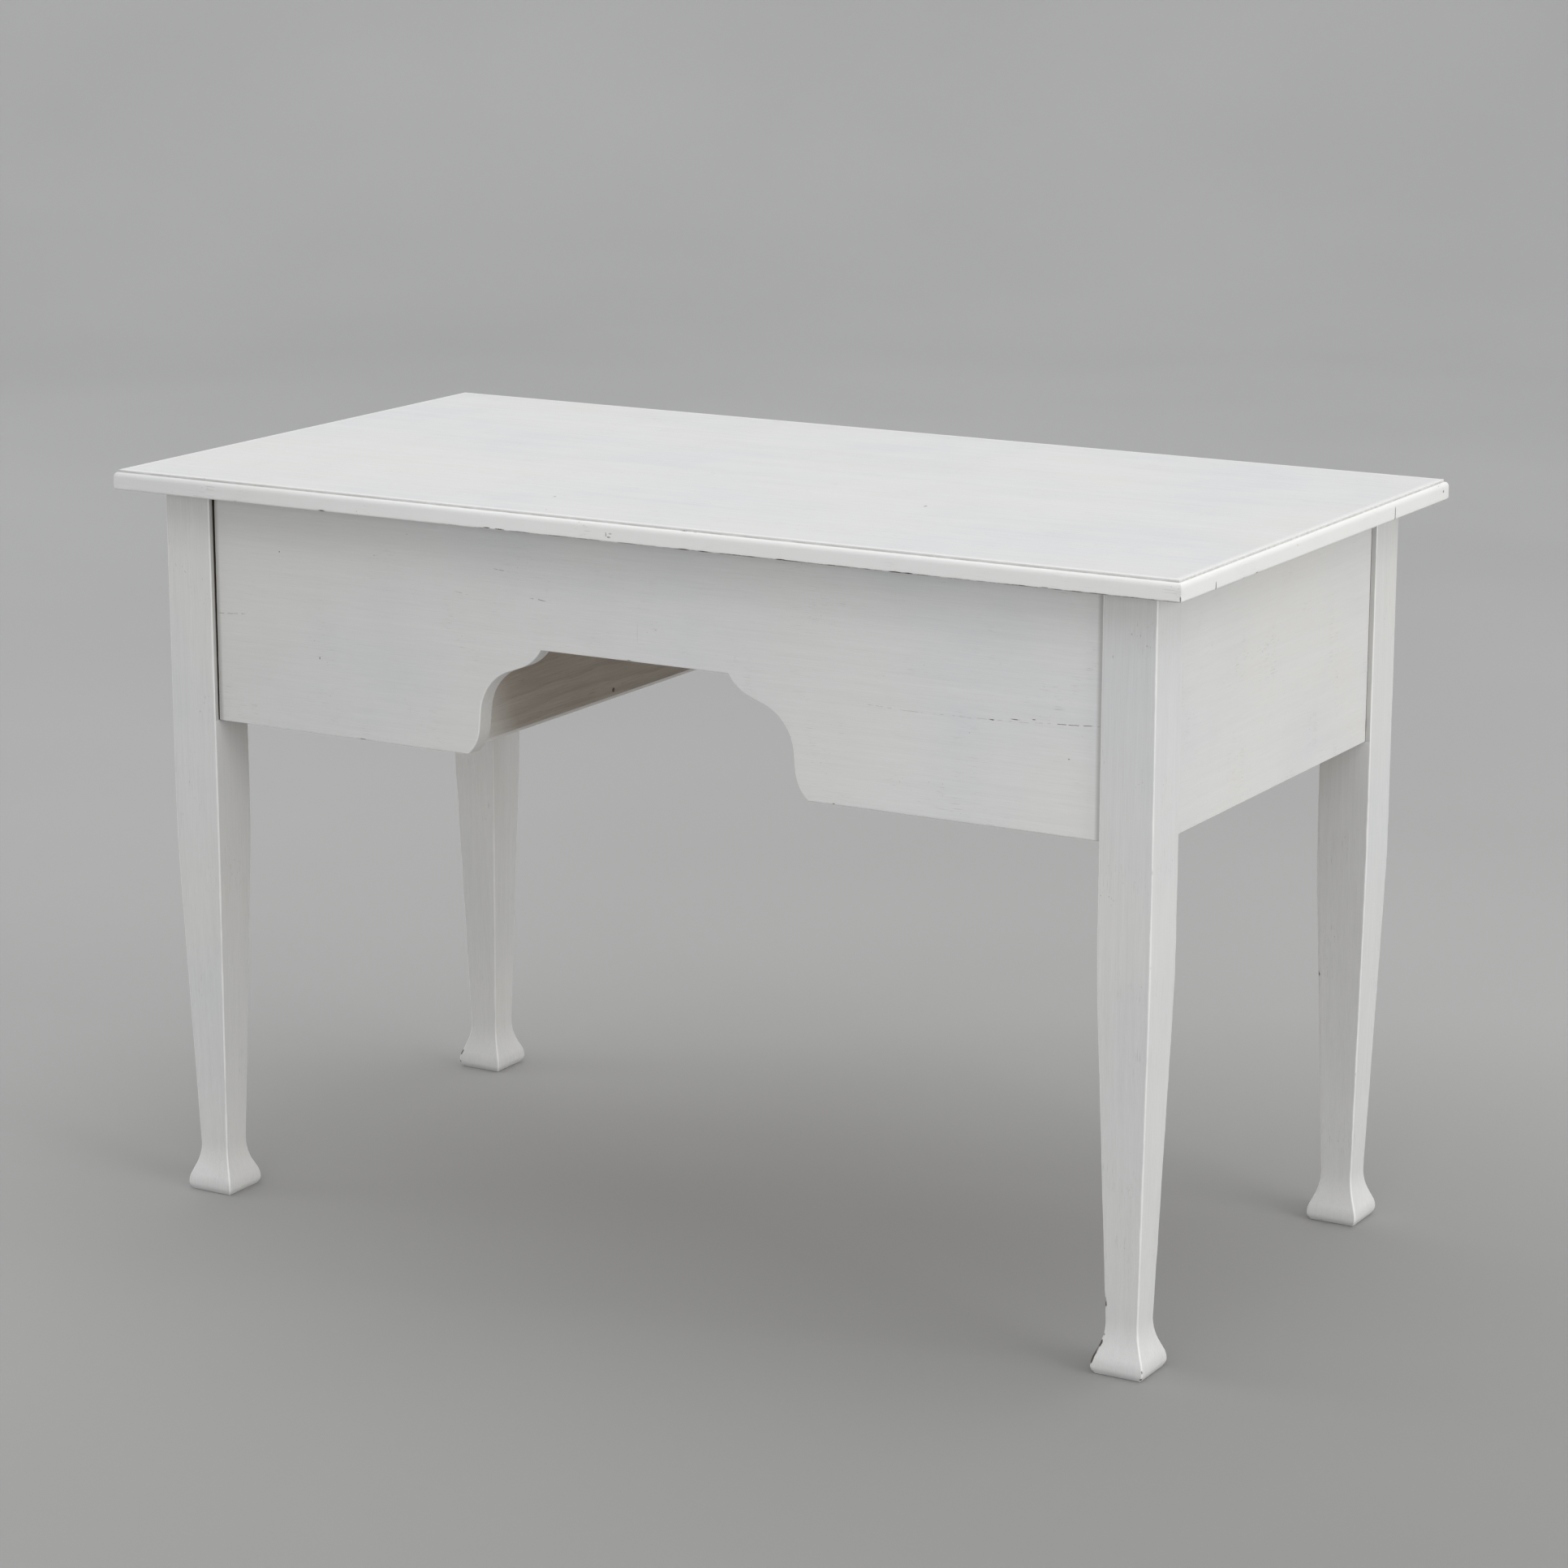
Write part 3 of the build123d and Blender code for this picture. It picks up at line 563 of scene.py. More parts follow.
def raw_pine(name, grain, light=PINE, dark=PINE_DARK, age=0.25):
    """Planed pine, oiled by age and never painted."""
    p = Paint(name)
    color, fibre, ring = wood_color(p, grain, light, dark)
    soil = p.map(p.cloud(0.12, 4.0, 6.0), 0.48, 0.70, 0.0, age)
    color = p.mix(soil, color, GREY_WOOD_DARK)
    color = p.shade(color, p.map(p.cloud(0.02, 3.0, 14.0), 0.4, 0.6, 0.92, 1.04))
    height = p.math("MULTIPLY_ADD", fibre, 0.8, p.math("MULTIPLY", ring, 0.5))
    normal = p.bump(height, 0.30 * MM, 0.6)
    return p.surface(color, p.map(fibre, 0.3, 0.7, 0.72, 0.55), normal, specular=0.35)


MIST_AND_LIGHT_LEAN = 0.35
MIST_AND_LIGHT_SOLID = 38 * MM
MIST_AND_LIGHT_END = 98 * MM
FOOT_HIGHLIGHT_BAND = (2.4 * MM, 3.2 * MM)
FRONT_EDGE = (4 * MM, 2.5 * MM)


def aged_partition_wood(name):
    """Grey-brown board of the drawer casing, darker towards the drawer side as painted shade, with overspray
    and painted light near the apron, and a white foot edge brightened by a painted highlight.
    """
    p = Paint(name)
    color, fibre, ring = wood_color(p, "Y", GREY_WOOD, GREY_WOOD_DARK, 0.6)
    low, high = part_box("left_partition")
    y, z = p.coordinate("Y"), p.coordinate("Z")
    # Painted shade: darker deeper in, towards the drawer side.
    color = p.shade(color, p.map(y, -0.20, 0.15, 1.08, 0.74))
    # Overspray and painted light near the apron's kneehole edge.
    lean = p.math("MULTIPLY_ADD", z, MIST_AND_LIGHT_LEAN, y)
    start = low.y + MIST_AND_LIGHT_LEAN * low.z
    mist_and_light = p.map(lean, start + MIST_AND_LIGHT_SOLID, start + MIST_AND_LIGHT_END, 1.0, 0.0)
    mist_and_light = p.math("MULTIPLY", mist_and_light, p.map(p.pattern("Y", MIST_AND_LIGHT_DRIFT), 0.3, 0.6, 0.85, 1.0))
    color = p.mix(mist_and_light, color, OVERSPRAY_AND_LIGHT)
    # White paint along the foot, brightened to a painted highlight.
    color = p.mix(p.map(z, low.z + FOOT_HIGHLIGHT_BAND[0], low.z + FOOT_HIGHLIGHT_BAND[1], 1.0, 0.0), color, PAINTED_HIGHLIGHT_WHITE)
    color = p.mix(p.map(y, high.y - FRONT_EDGE[0], high.y - FRONT_EDGE[1]), color, WHITE)
    height = p.math("MULTIPLY_ADD", fibre, 0.8, p.math("MULTIPLY", ring, 0.4))
    normal = p.bump(height, 0.30 * MM, 0.6)
    return p.surface(color, p.map(fibre, 0.3, 0.7, 0.75, 0.6), normal, specular=0.3)


def dull_steel(name):
    """Old wood screws and nails: dark steel with rust in patches."""
    p = Paint(name)
    rust = p.map(p.cloud(0.0022, 4.0), 0.46, 0.60)
    scuff = p.pattern("Z", STEEL_SCUFF)
    color = p.mix(rust, STEEL, RUST)
    color = p.shade(color, p.map(scuff, 0.3, 0.7, 0.75, 1.2))
    roughness = p.map(rust, 0.0, 1.0, 0.42, 0.85)
    normal = p.bump(p.math("ADD", rust, scuff), 0.10 * MM, 0.6)
    return p.surface(color, roughness, normal, metallic=0.65)


# Wear seen on the table. Cracks: (x0, z0, x1, z1, width, open share, depth), in metres.
# Spots: (x, y, z) in metres, the reach along each axis in mm, and the depth from 0 to 1.
APRON_CRACKS = (
    (0.2340, 0.6052, 0.358, 0.6046, 0.30 * MM, 0.35, 0.35),
    (0.3570, 0.6046, 0.448, 0.6090, 0.28 * MM, 0.50, 0.35),
    (0.4460, 0.6092, 0.493, 0.6116, 0.38 * MM, 0.70, 0.9),
    (-0.4950, 0.6160, -0.458, 0.6195, 0.28 * MM, 0.65, 0.8),
    (-0.2040, 0.6676, -0.188, 0.6650, 0.26 * MM, 0.60, 0.6),
    (-0.1160, 0.6686, -0.098, 0.6676, 0.36 * MM, 0.90, 0.9),
    (-0.1590, 0.6942, -0.139, 0.6921, 0.28 * MM, 0.70, 0.7),
)
APRON_SPOTS = (
    (-0.3675, -0.2705, 0.5836, (0.6, 0.6, 1.7), 0.9),
    (-0.4139, -0.2705, 0.6864, (0.7, 0.7, 0.7), 0.9),
    (-0.2590, -0.2705, 0.7180, (0.6, 0.6, 0.5), 0.6),
    (0.3840, -0.2705, 0.6060, (3.2, 0.6, 0.6), 0.9),
    (0.4075, -0.2705, 0.6088, (5.0, 0.6, 0.5), 0.85),
    (0.4265, -0.2705, 0.6108, (2.4, 0.6, 0.5), 0.85),
    (0.4624, -0.2705, 0.5782, (0.9, 0.7, 0.7), 0.8),
    (0.2193, -0.2705, 0.5070, (1.6, 1.2, 0.8), 0.7),
    (0.0050, -0.2705, 0.6480, (0.3, 0.6, 10.0), 0.22),
)
TOP_SPOTS = (
    (-0.119, -0.221, 0.760, (1.2, 3.0, 1.0), 0.7),
    (0.216, -0.089, 0.760, (1.3, 3.6, 1.0), 0.8),
    (-0.086, -0.286, 0.760, (1.0, 1.6, 1.0), 0.6),
    (0.588, 0.296, 0.7495, (0.8, 1.6, 1.8), 0.9),
    (-0.0040, -0.310, 0.7470, (0.8, 0.8, 2.6), 0.55),
    (0.0010, -0.310, 0.7480, (2.2, 0.8, 0.8), 0.50),
    (-0.0010, -0.310, 0.7446, (2.4, 0.8, 0.9), 0.55),
    (-0.138, -0.310, 0.7414, (4.5, 1.0, 0.8), 0.9),
    (-0.124, -0.310, 0.7412, (6.0, 1.0, 0.7), 0.9),
    (0.080, -0.3066, 0.7576, (3.5, 0.8, 0.8), 0.8),
    (0.092, -0.3066, 0.7574, (2.2, 0.7, 0.6), 0.6),
    (0.455, -0.310, 0.7412, (5.0, 0.9, 0.7), 0.6),
    (0.5868, -0.3088, 0.7430, (0.8, 0.8, 3.4), 0.85),
    (0.588, -0.060, 0.7520, (0.8, 0.9, 0.7), 0.7),
    (-0.588, 0.120, 0.7470, (0.8, 1.8, 0.9), 0.7),
    (-0.240, 0.310, 0.7440, (2.6, 0.8, 0.8), 0.7),
    (0.310, 0.310, 0.7414, (5.5, 1.0, 0.8), 0.8),
)
LEG_SPOTS = (
    (0.5480, -0.2740, 0.0028, (1.6, 1.6, 2.0), 0.95),
    (0.5491, -0.2751, 0.0105, (0.8, 0.8, 1.8), 0.80),
    (0.4977, -0.2743, 0.1210, (0.9, 0.9, 1.6), 0.85),
    (-0.5485, 0.2232, 0.0060, (1.4, 1.4, 2.4), 0.90),
    (0.5400, -0.2757, 0.6910, (0.6, 0.6, 1.4), 0.50),
    (0.5070, -0.2757, 0.6780, (0.5, 0.6, 1.8), 0.45),
    (-0.5400, -0.2755, 0.3400, (0.5, 0.8, 1.5), 0.50),
    (0.5360, -0.2745, 0.3120, (0.6, 0.8, 1.6), 0.50),
)

# In the first three, the pair of tones after cover and streaks is painted light, from the table's left end to
# its right.
paint_top = brushed_paint(
    "painted_top", "X", 1.12, 0.6, (1.0, 0.97), spots=TOP_SPOTS, bare=unpainted_side
)
paint_leg = brushed_paint("painted_leg", "Z", 0.85, 1.0, (0.96, 1.0), spots=LEG_SPOTS, joints=True)
paint_apron = brushed_paint(
    "painted_apron", "X", 0.95, 0.75, (0.91, 1.12), APRON_CRACKS, APRON_SPOTS, unpainted_side, dust_and_shade_ends=True
)
paint_end = brushed_paint("painted_end_board", "Y", streaks=0.45, bare=unpainted_side)
paint_rail = brushed_paint("painted_rail", "X", bare=inside_of_rail)
paint_knob = brushed_paint("painted_knob", "Y")
pine_x = raw_pine("pine_along_x", "X")
pine_y = raw_pine("pine_along_y", "Y")
carcass_x = raw_pine("carcass_pine_along_x", "X", CARCASS_PINE, CARCASS_PINE_DARK, age=0.55)
carcass_y = raw_pine("carcass_pine_along_y", "Y", CARCASS_PINE, CARCASS_PINE_DARK, age=0.55)
partition_wood = aged_partition_wood("aged_partition_wood")
steel = dull_steel("dull_steel")


# ---- top ------------------------------------------------------------------------------------

SURFACE_INSET = 4.0 * MM
QUIRK_DROP = 2.6 * MM
QUIRK_LEDGE = 0.7 * MM
OVOLO_DROP = 5.2 * MM
ARRIS_ROUND = 1.8 * MM
SURFACE_EASE = 0.5 * MM
QUIRK_FILL = 0.3 * MM
SLIT_WIDTH = 1.1 * MM
SLIT_REACH = 36 * MM
SLITS = {1: UNDERSIDE_Z + 7.0 * MM, 4: UNDERSIDE_Z + 12.5 * MM}
FINE_STEP = 7 * MM
COARSE_STEP = 24 * MM
NEAR_MOULDING = (6 * MM, 11 * MM, 18 * MM)
NEAR_JOINT = (0.7 * MM, 2.5 * MM, 6 * MM, 12 * MM)
PAINTED_RIM = 42 * MM
PAINT_END = PAINTED_RIM + 9 * MM
NOTCH_TOP = UNDERSIDE_Z + 6.0 * MM
NOTCH_DEPTH = 0.9 * MM
DENT_SIZE = 7 * MM
DENT_RARITY = 0.44
DENT_DEPTH = 0.7 * MM
UNEVENNESS = 0.10 * MM
LOW_ARRIS_WEAR_AND_SHADE = 0.44
SLIT_WOOD = 1.7
NOSING_HIGHLIGHT_END = -90 * MM
ARRIS_STEPS = 5
OVOLO_STEPS = 9
RIM_HIGHLIGHT = 0.8
MARKS = ("edge", "grime", "bare", "chip", "fresh")


def moulding():
    """The top's edge from its lower arris to its surface, as (inset, height, edge, grime)."""
    levels = []
    for k in range(ARRIS_STEPS + 1):
        turn = k / ARRIS_STEPS * math.pi / 2
        inset, rise = ARRIS_ROUND * (1 - math.sin(turn)), ARRIS_ROUND * (1 - math.cos(turn))
        levels.append((inset, UNDERSIDE_Z + rise, 0.0, 0.0))
    quirk = TOP_Z - QUIRK_DROP
    foot, brow = UNDERSIDE_Z + ARRIS_ROUND, quirk - OVOLO_DROP
    for share in (0.15, 0.4, 0.65, 0.88):
        levels.append((0.0, foot + share * (brow - foot), 0.0, 0.0))
    across = SURFACE_INSET - QUIRK_LEDGE
    for k in range(OVOLO_STEPS + 1):
        share = k / OVOLO_STEPS
        turn = share * math.pi / 2
        inset, height = across * (1 - math.cos(turn)), quirk - OVOLO_DROP * (1 - math.sin(turn))
        levels.append((inset, height, 0.0, 0.25 * smooth_step(0.75, 1.0, share)))
    # Dirt and painted shade in the quirk; a painted highlight on the rim where the surface begins.
    levels.append((SURFACE_INSET - QUIRK_FILL, quirk, 0.0, 1.0))
    levels.append((SURFACE_INSET, quirk + QUIRK_FILL, 0.0, 1.0))
    levels.append((SURFACE_INSET, TOP_Z - SURFACE_EASE, 0.3, 0.25))
    levels.append((SURFACE_INSET + SURFACE_EASE * 0.3, TOP_Z - SURFACE_EASE * 0.3, 1.0, 0.0))
    levels.append((SURFACE_INSET + SURFACE_EASE, TOP_Z, 0.9, 0.0))
    return levels


def border(nx, ny):
    """Grid places round the edge of an nx by ny grid, counter-clockwise from its first corner."""
    return (
        [(i, 0) for i in range(nx - 1)]
        + [(nx - 1, j) for j in range(ny - 1)]
        + [(i, ny - 1) for i in range(nx - 1, 0, -1)]
        + [(0, j) for j in range(ny - 1, 0, -1)]
    )


def rim_point(place, grid, moulded, joints, level):
    """A point of a plank's edge at one level of the moulding, and its marks."""
    (i, j), (xs, ys), (inset, height, edge, grime) = place, grid, level
    x, y = xs[i], ys[j]
    on_end, sides = i in (0, len(xs) - 1), (j == 0, j == len(ys) - 1)
    on_low, on_high = (here and shaped for here, shaped in zip(sides, moulded))
    on_moulding = on_end or on_low or on_high
    dent = UNEVENNESS * (1 + wobble((x, y, height), 45 * MM, 3.0))
    low_arris = smooth_step(UNDERSIDE_Z + 2.5 * MM, UNDERSIDE_Z + 1.0 * MM, height)
    chip = nick((x, y, height * 0.4), DENT_SIZE, DENT_RARITY, 8.0) * low_arris if on_moulding else 0.0
    dent += DENT_DEPTH * chip
    if on_low and i == len(xs) - 1 and height < NOTCH_TOP:
        dent += NOTCH_DEPTH
    if on_end:
        x -= math.copysign(inset + dent, x)
    if on_low:
        y += inset + dent
    if on_high:
        y -= inset + dent
    for here, shaped, joint, inward in zip(sides, moulded, joints, (1, -1)):
        opening = slit_opening(x, height, joint) if here and not shaped else 0.0
        y += inward * opening
        chip = SLIT_WOOD if opening else chip
    # Wear and painted shade along the lower arris of the long sides, less of both towards the left end.
    low_side = smooth_step(UNDERSIDE_Z + 2.0 * MM, UNDERSIDE_Z + 1.0 * MM, height) * (on_low or on_high)
    wear_and_shade_share = 0.3 + 0.7 * smooth_step(LOW.x, 0.0, x)
    marks = {"chip": wear_and_shade_share * (0.6 * chip + LOW_ARRIS_WEAR_AND_SHADE * low_side)}
    if on_moulding:
        # Painted highlight on the nosing, full from a little left of the middle.
        marks.update(edge=edge, grime=grime, fresh=smooth_step(LOW.x, NOSING_HIGHLIGHT_END, x))
    return Vector((x, y, height)), marks


def top_plank(number, y_low, y_high, planks):
    """One board of the top: the moulding runs along its outer edges, and its joints are plain."""
    moulded = number == 1, number == planks
    xs = runs(LOW.x, HIGH.x, FINE_STEP if any(moulded) else COARSE_STEP, NEAR_MOULDING, NEAR_MOULDING)
    ys = runs(y_low, y_high, FINE_STEP, *(NEAR_MOULDING if shaped else NEAR_JOINT for shaped in moulded))
    nx, ny = len(xs), len(ys)
    rim, levels = border(nx, ny), moulding()
    points = [
        rim_point(place, (xs, ys), moulded, (number - 1, number), level) for level in levels for place in rim
    ]
    faces = skin([rim] * len(levels))[:-2]
    for first, height, upward in ((0, UNDERSIDE_Z, False), (len(points) - len(rim), TOP_Z, True)):
        index = {place: first + k for k, place in enumerate(rim)}
        for i in range(nx):
            for j in range(ny):
                depth = min(HIGH.x - abs(xs[i]), HIGH.y - abs(ys[j]))
                if (i, j) not in index:
                    index[i, j] = len(points)
                    points.append((Vector((xs[i], ys[j], height)), {}))
                    # Painted highlight on the top's surface along the moulding.
                    if upward and depth < NEAR_MOULDING[0] + MM:
                        points[-1][1]["edge"] = RIM_HIGHLIGHT
                if not upward:
                    points[index[i, j]][1]["bare"] = smooth_step(PAINTED_RIM, PAINT_END, depth)
        for i in range(nx - 1):
            for j in range(ny - 1):
                quad = (index[i, j], index[i + 1, j], index[i + 1, j + 1], index[i, j + 1])
                faces.append(quad if upward else tuple(reversed(quad)))
    verts = [point for point, _ in points]
    marks = {key: [own.get(key, 0.0) for _, own in points] for key in MARKS}
    node = f"top_plank_{number}"
    return new_piece(f"painted_{node}", verts, faces, paint_top, FRAME_BODY, node, marks)


def slit_opening(x, height, joint):
    """How far each board stands back from a joint, where the glue line has opened at the right end."""
    top = SLITS.get(joint)
    if top is None or height > top or x < HIGH.x - SLIT_REACH:
        return 0.0
    along = smooth_step(HIGH.x - SLIT_REACH, HIGH.x, x)
    return SLIT_WIDTH / 2 * along * smooth_step(top, top - 3 * MM, height)


def table_top():
    """All the boards of the top."""
    names = sorted(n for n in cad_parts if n.startswith("top_plank_"))
    for number, name in enumerate(names, start=1):
        low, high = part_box(name)
        top_plank(number, low.y, high.y, len(names))


# ---- legs -----------------------------------------------------------------------------------

FOOT_LINE = ((23.6, 0.0), (26.8, 5.0), (26.8, 13.0), (16.3, 38.0), (27.0, 381.0), (27.0, 740.0))
FOOT_RADII = (9.0, 24.0, 64.0, 2000.0)
LEG_ARRIS = 1.5 * MM
LEG_STEP = 7 * MM
FACE_SHARES = (-1.0, -0.8, -0.4, 0.0, 0.4, 0.8, 1.0)
FACE_MARGIN = 4.5 * MM
ARC_POINTS = 4
CHIPPED_ARRIS = 0.66
FULL_CHIP = 0.6 * MM
PLANE_HOLLOW = 0.22 * MM

# The worn arrises: which one, as the signs of its x and y from the leg's middle, then the height of
# the chip's middle, its reach and its depth.
LEG_CHIPS = {
    "front_right_leg": (
        (-1, -1, 31 * MM, 14 * MM, 0.9 * MM),
        (-1, -1, 14 * MM, 10 * MM, 1.0 * MM),
        (-1, -1, 68 * MM, 13 * MM, 0.7 * MM),
        (1, -1, 690 * MM, 12 * MM, 0.3 * MM),
    ),
    "back_left_leg": ((-1, -1, 17 * MM, 12 * MM, 1.0 * MM),),
    "back_right_leg": ((-1, -1, 57 * MM, 12 * MM, 0.6 * MM), (-1, -1, 262 * MM, 14 * MM, 0.6 * MM)),
    "front_left_leg": ((1, -1, 560 * MM, 14 * MM, 0.4 * MM),),
}


def leg_profile():
    """Half widths and heights of a leg from its foot to its head."""
    line = rounded_line([Vector((w * MM, h * MM)) for w, h in FOOT_LINE], [r * MM for r in FOOT_RADII])
    return [(p.x, p.y) for p in divided(line, LEG_STEP)]


def chip_depth(corner, point, chips):
    """How deep the arris at this corner is chipped away at a point of it."""
    ragged = 0.75 + 0.5 * wobble(point, 3 * MM, 4.0)
    return sum(
        smooth_step(1.0, 0.0, abs(point.z - middle) / reach) * depth * ragged
        for x, y, middle, reach, depth in chips
        if (x, y) == corner
    )


def leg_ring(half, height, center, chips):
    """One level of a leg: a square whose corners are a little round, uneven as a hand plane leaves them.
    Gives its points and their marks as (edge, chip)."""
    ring, marks = [], []
    core = Vector((center.x, center.y, height))
    for corner, (sx, sy) in enumerate(((1, 1), (-1, 1), (-1, -1), (1, -1))):
        at_corner = core + Vector((sx, sy, 0)) * half
        uneven = 1 + 0.45 * wobble(at_corner, 30 * MM, 2.0) + 0.3 * wobble(at_corner, 7 * MM, 5.0)
        chip = chip_depth((sx, sy), at_corner, chips)
        radius = LEG_ARRIS * uneven + chip
        start = corner * math.pi / 2
        for k in range(ARC_POINTS + 1):
            a = start + k / ARC_POINTS * math.pi / 2
            offset = Vector((sx, sy, 0)) * (half - radius) + Vector((math.cos(a), math.sin(a), 0)) * radius
            ring.append(core + offset)
            # The edge mark carries the painted highlight along the arris.
            middle = math.sin(2 * (a - start))
            marks.append((middle, CHIPPED_ARRIS * min(1.0, chip / FULL_CHIP) * (0.75 + 0.25 * middle)))
        turn = start + math.pi / 2
        outward = Vector((math.cos(turn), math.sin(turn), 0))
        tangent = Vector((-math.sin(turn), math.cos(turn), 0))
        for share in FACE_SHARES:
            point = core + outward * half + tangent * share * (half - FACE_MARGIN)
            hollow = PLANE_HOLLOW * (0.5 + 0.5 * wobble(point, 55 * MM, 6.0)) * (1 - share * share)
            ring.append(point - outward * hollow)
            marks.append((0.0, 0.0))
    return ring, marks


def leg(name):
    """A square leg with a shaped foot."""
    low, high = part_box(name)
    center = (low + high) / 2
    levels = [leg_ring(half, height, center, LEG_CHIPS[name]) for half, height in leg_profile()]
    rings = [ring for ring, _ in levels]
    edges, chips = zip(*(mark for _, marks in levels for mark in marks))
    verts = [v for ring in rings for v in ring]
    marks = {"edge": list(edges), "chip": list(chips)}
    return new_piece(f"painted_{name}", verts, skin(rings), paint_leg, FRAME_BODY, name, marks)


# ---- boards ---------------------------------------------------------------------------------

BOARD_EASE = 1.3 * MM
BOARD_STEP = 9 * MM
TENON_LENGTH = 28 * MM
TENON_THICK = 9 * MM
TENON_SPANS = ((520 * MM, 604 * MM), (640 * MM, 724 * MM))
KNEEHOLE = ((105.0, 618.5), (114.2, 603.8), (173.0, 582.3), (178.7, 517.5), (191.6, 506.0))
KNEEHOLE_RADII = (49.0, 50.0, 40.0)
SHRINKAGE_GAP = 1.9 * MM
FOOT_CLOSING = 1.3 * MM
TENON_OVERLAP = 2 * MM
EASE_STEPS = 4
BOARD_DENT_SIZE = 8 * MM
BOARD_DENT_DEPTH = 0.8 * MM
BOARD_SLACK = 0.12 * MM
GAP_SLACK = 0.30 * MM
APRON_RARITY = 0.47
END_RARITY = 0.52


def ease_levels(thickness, ease):
    """Insets across a board's thickness, as (inset, depth, edge): both arrises are eased."""
    quarter = []
    for k in range(EASE_STEPS + 1):
        turn = k / EASE_STEPS * math.pi / 2
        quarter.append((ease * (1 - math.sin(turn)), ease * (1 - math.cos(turn)), math.sin(2 * turn)))
    middle = [(0.0, share * thickness, 0.0) for share in (0.2, 0.5, 0.8)]
    return quarter + middle + [(inset, thickness - depth, edge) for inset, depth, edge in reversed(quarter)]


def board(name, node, outline, place, depths, outer_first, material, tenons, rarity, open_end=None):
    """A board with this outline across depths; place(u, v, depth) gives its points in the frame, and rarity
    says how rare the dents in its arrises are. Its end at u below open_end stands off from the leg, so the
    old wood shows in the gap, dark enough to stand in for the shade there."""
    start, end = depths
    inward = miters(outline)
    verts, marks = [], {"edge": [], "chip": [], "bare": []}
    levels = ease_levels(end - start, BOARD_EASE)
    for inset, depth, edge in levels:
        for point, step in zip(outline, inward):
            spot = place(point.x, point.y, start + depth)
            chip = nick(spot, BOARD_DENT_SIZE, rarity, 4.0) * smooth_step(0.3, 0.6, edge)
            slack = BOARD_SLACK * (1 + wobble(spot, 50 * MM, 9.0)) + BOARD_DENT_DEPTH * chip
            in_gap = open_end is not None and point.x < open_end
            if in_gap:
                slack += GAP_SLACK * (1 + wobble(spot, 14 * MM, 3.0))
            moved = point + step * (inset + slack)
            verts.append(place(moved.x, moved.y, start + depth))
            # The edge mark carries the painted highlight along the arrises.
            marks["edge"].append(edge)
            # In the gap by the leg, the board's end is old wood, dark enough to stand in for the shade there.
            marks["chip"].append(1.0 if in_gap and inset == 0 else 0.7 * chip)
            inner = depth / (end - start) if outer_first else 1 - depth / (end - start)
            marks["bare"].append(smooth_step(0.9, 1.0, inner))
    faces = skin([outline] * len(levels))
    if place(1, 0, 0).cross(place(0, 1, 0)).dot(place(0, 0, 1) - place(0, 0, 0)) < 0:
        faces = [tuple(reversed(face)) for face in faces]
    for low, high in tenons:
        add_box(verts, faces, low, high)
    return new_piece(name, verts, faces, material, FRAME_BODY, node, marks)


def tenons_at(shoulders, tips, middle, corner):
    """Corners of the four tenons of a board; corner(along, across, z) turns them into its direction."""
    return [
        (
            corner(min(shoulder, tip), middle - TENON_THICK / 2, bottom),
            corner(max(shoulder, tip), middle + TENON_THICK / 2, top),
        )
        for shoulder, tip in zip(shoulders, tips)
        for bottom, top in TENON_SPANS
    ]


def apron():
    """The long board under the near edge of the top, with the kneehole cut in it."""
    low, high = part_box("apron_board")
    left, right = low.x + TENON_LENGTH + SHRINKAGE_GAP, high.x - TENON_LENGTH
    half = rounded_line([Vector(c) * MM for c in KNEEHOLE], [r * MM for r in KNEEHOLE_RADII])
    kneehole = [Vector((-p.x, p.y)) for p in reversed(half)] + half
    corners = [Vector((right, low.z)), Vector((right, high.z)), Vector((left, high.z))]
    outline = divided([Vector((left - FOOT_CLOSING, low.z)), *kneehole, *corners], BOARD_STEP, closed=True)
    shoulders = left + TENON_OVERLAP, right - TENON_OVERLAP
    middle = (low.y + high.y) / 2
    tenons = tenons_at(shoulders, (low.x, high.x), middle, lambda u, across, z: (u, across, z))

    def place(u, v, depth):
        return Vector((u, depth, v))

    return board(
        "painted_apron", "apron_board", outline, place, (low.y, high.y), True,
        paint_apron, tenons, APRON_RARITY, open_end=left + 0.1 * MM,
    )


def end_board(side, sign):
    """The board between the legs at one end."""
    node = f"{side}_end_board"
    low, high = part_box(node)
    near, far = low.y + TENON_LENGTH, high.y - TENON_LENGTH
    corners = [Vector((near, low.z)), Vector((far, low.z)), Vector((far, high.z)), Vector((near, high.z))]
    outline = divided(corners, BOARD_STEP, closed=True)
    shoulders = near + TENON_OVERLAP, far - TENON_OVERLAP
    middle = (low.x + high.x) / 2
    tenons = tenons_at(shoulders, (low.y, high.y), middle, lambda u, across, z: (across, u, z))

    def place(u, v, depth):
        return Vector((depth, u, v))

    return board(
        f"painted_{node}", node, outline, place, (low.x, high.x), sign < 0, paint_end, tenons, END_RARITY
    )


# ---- knobs ----------------------------------------------------------------------------------

KNOB_LINE = ((0.0, 0.2), (9.4, 0.0), (10.0, 0.6), (9.6, 2.4), (6.9, 6.0), (8.4, 10.0), (14.0, 14.0),
             (15.5, 17.6), (13.6, 21.4), (7.5, 24.9), (0.0, 26.0))
KNOB_SIDES = 48
KNOB_PARTS = 5
KNOB_HIGHLIGHT_AND_RUB = (14.0 * MM, 15.4 * MM)


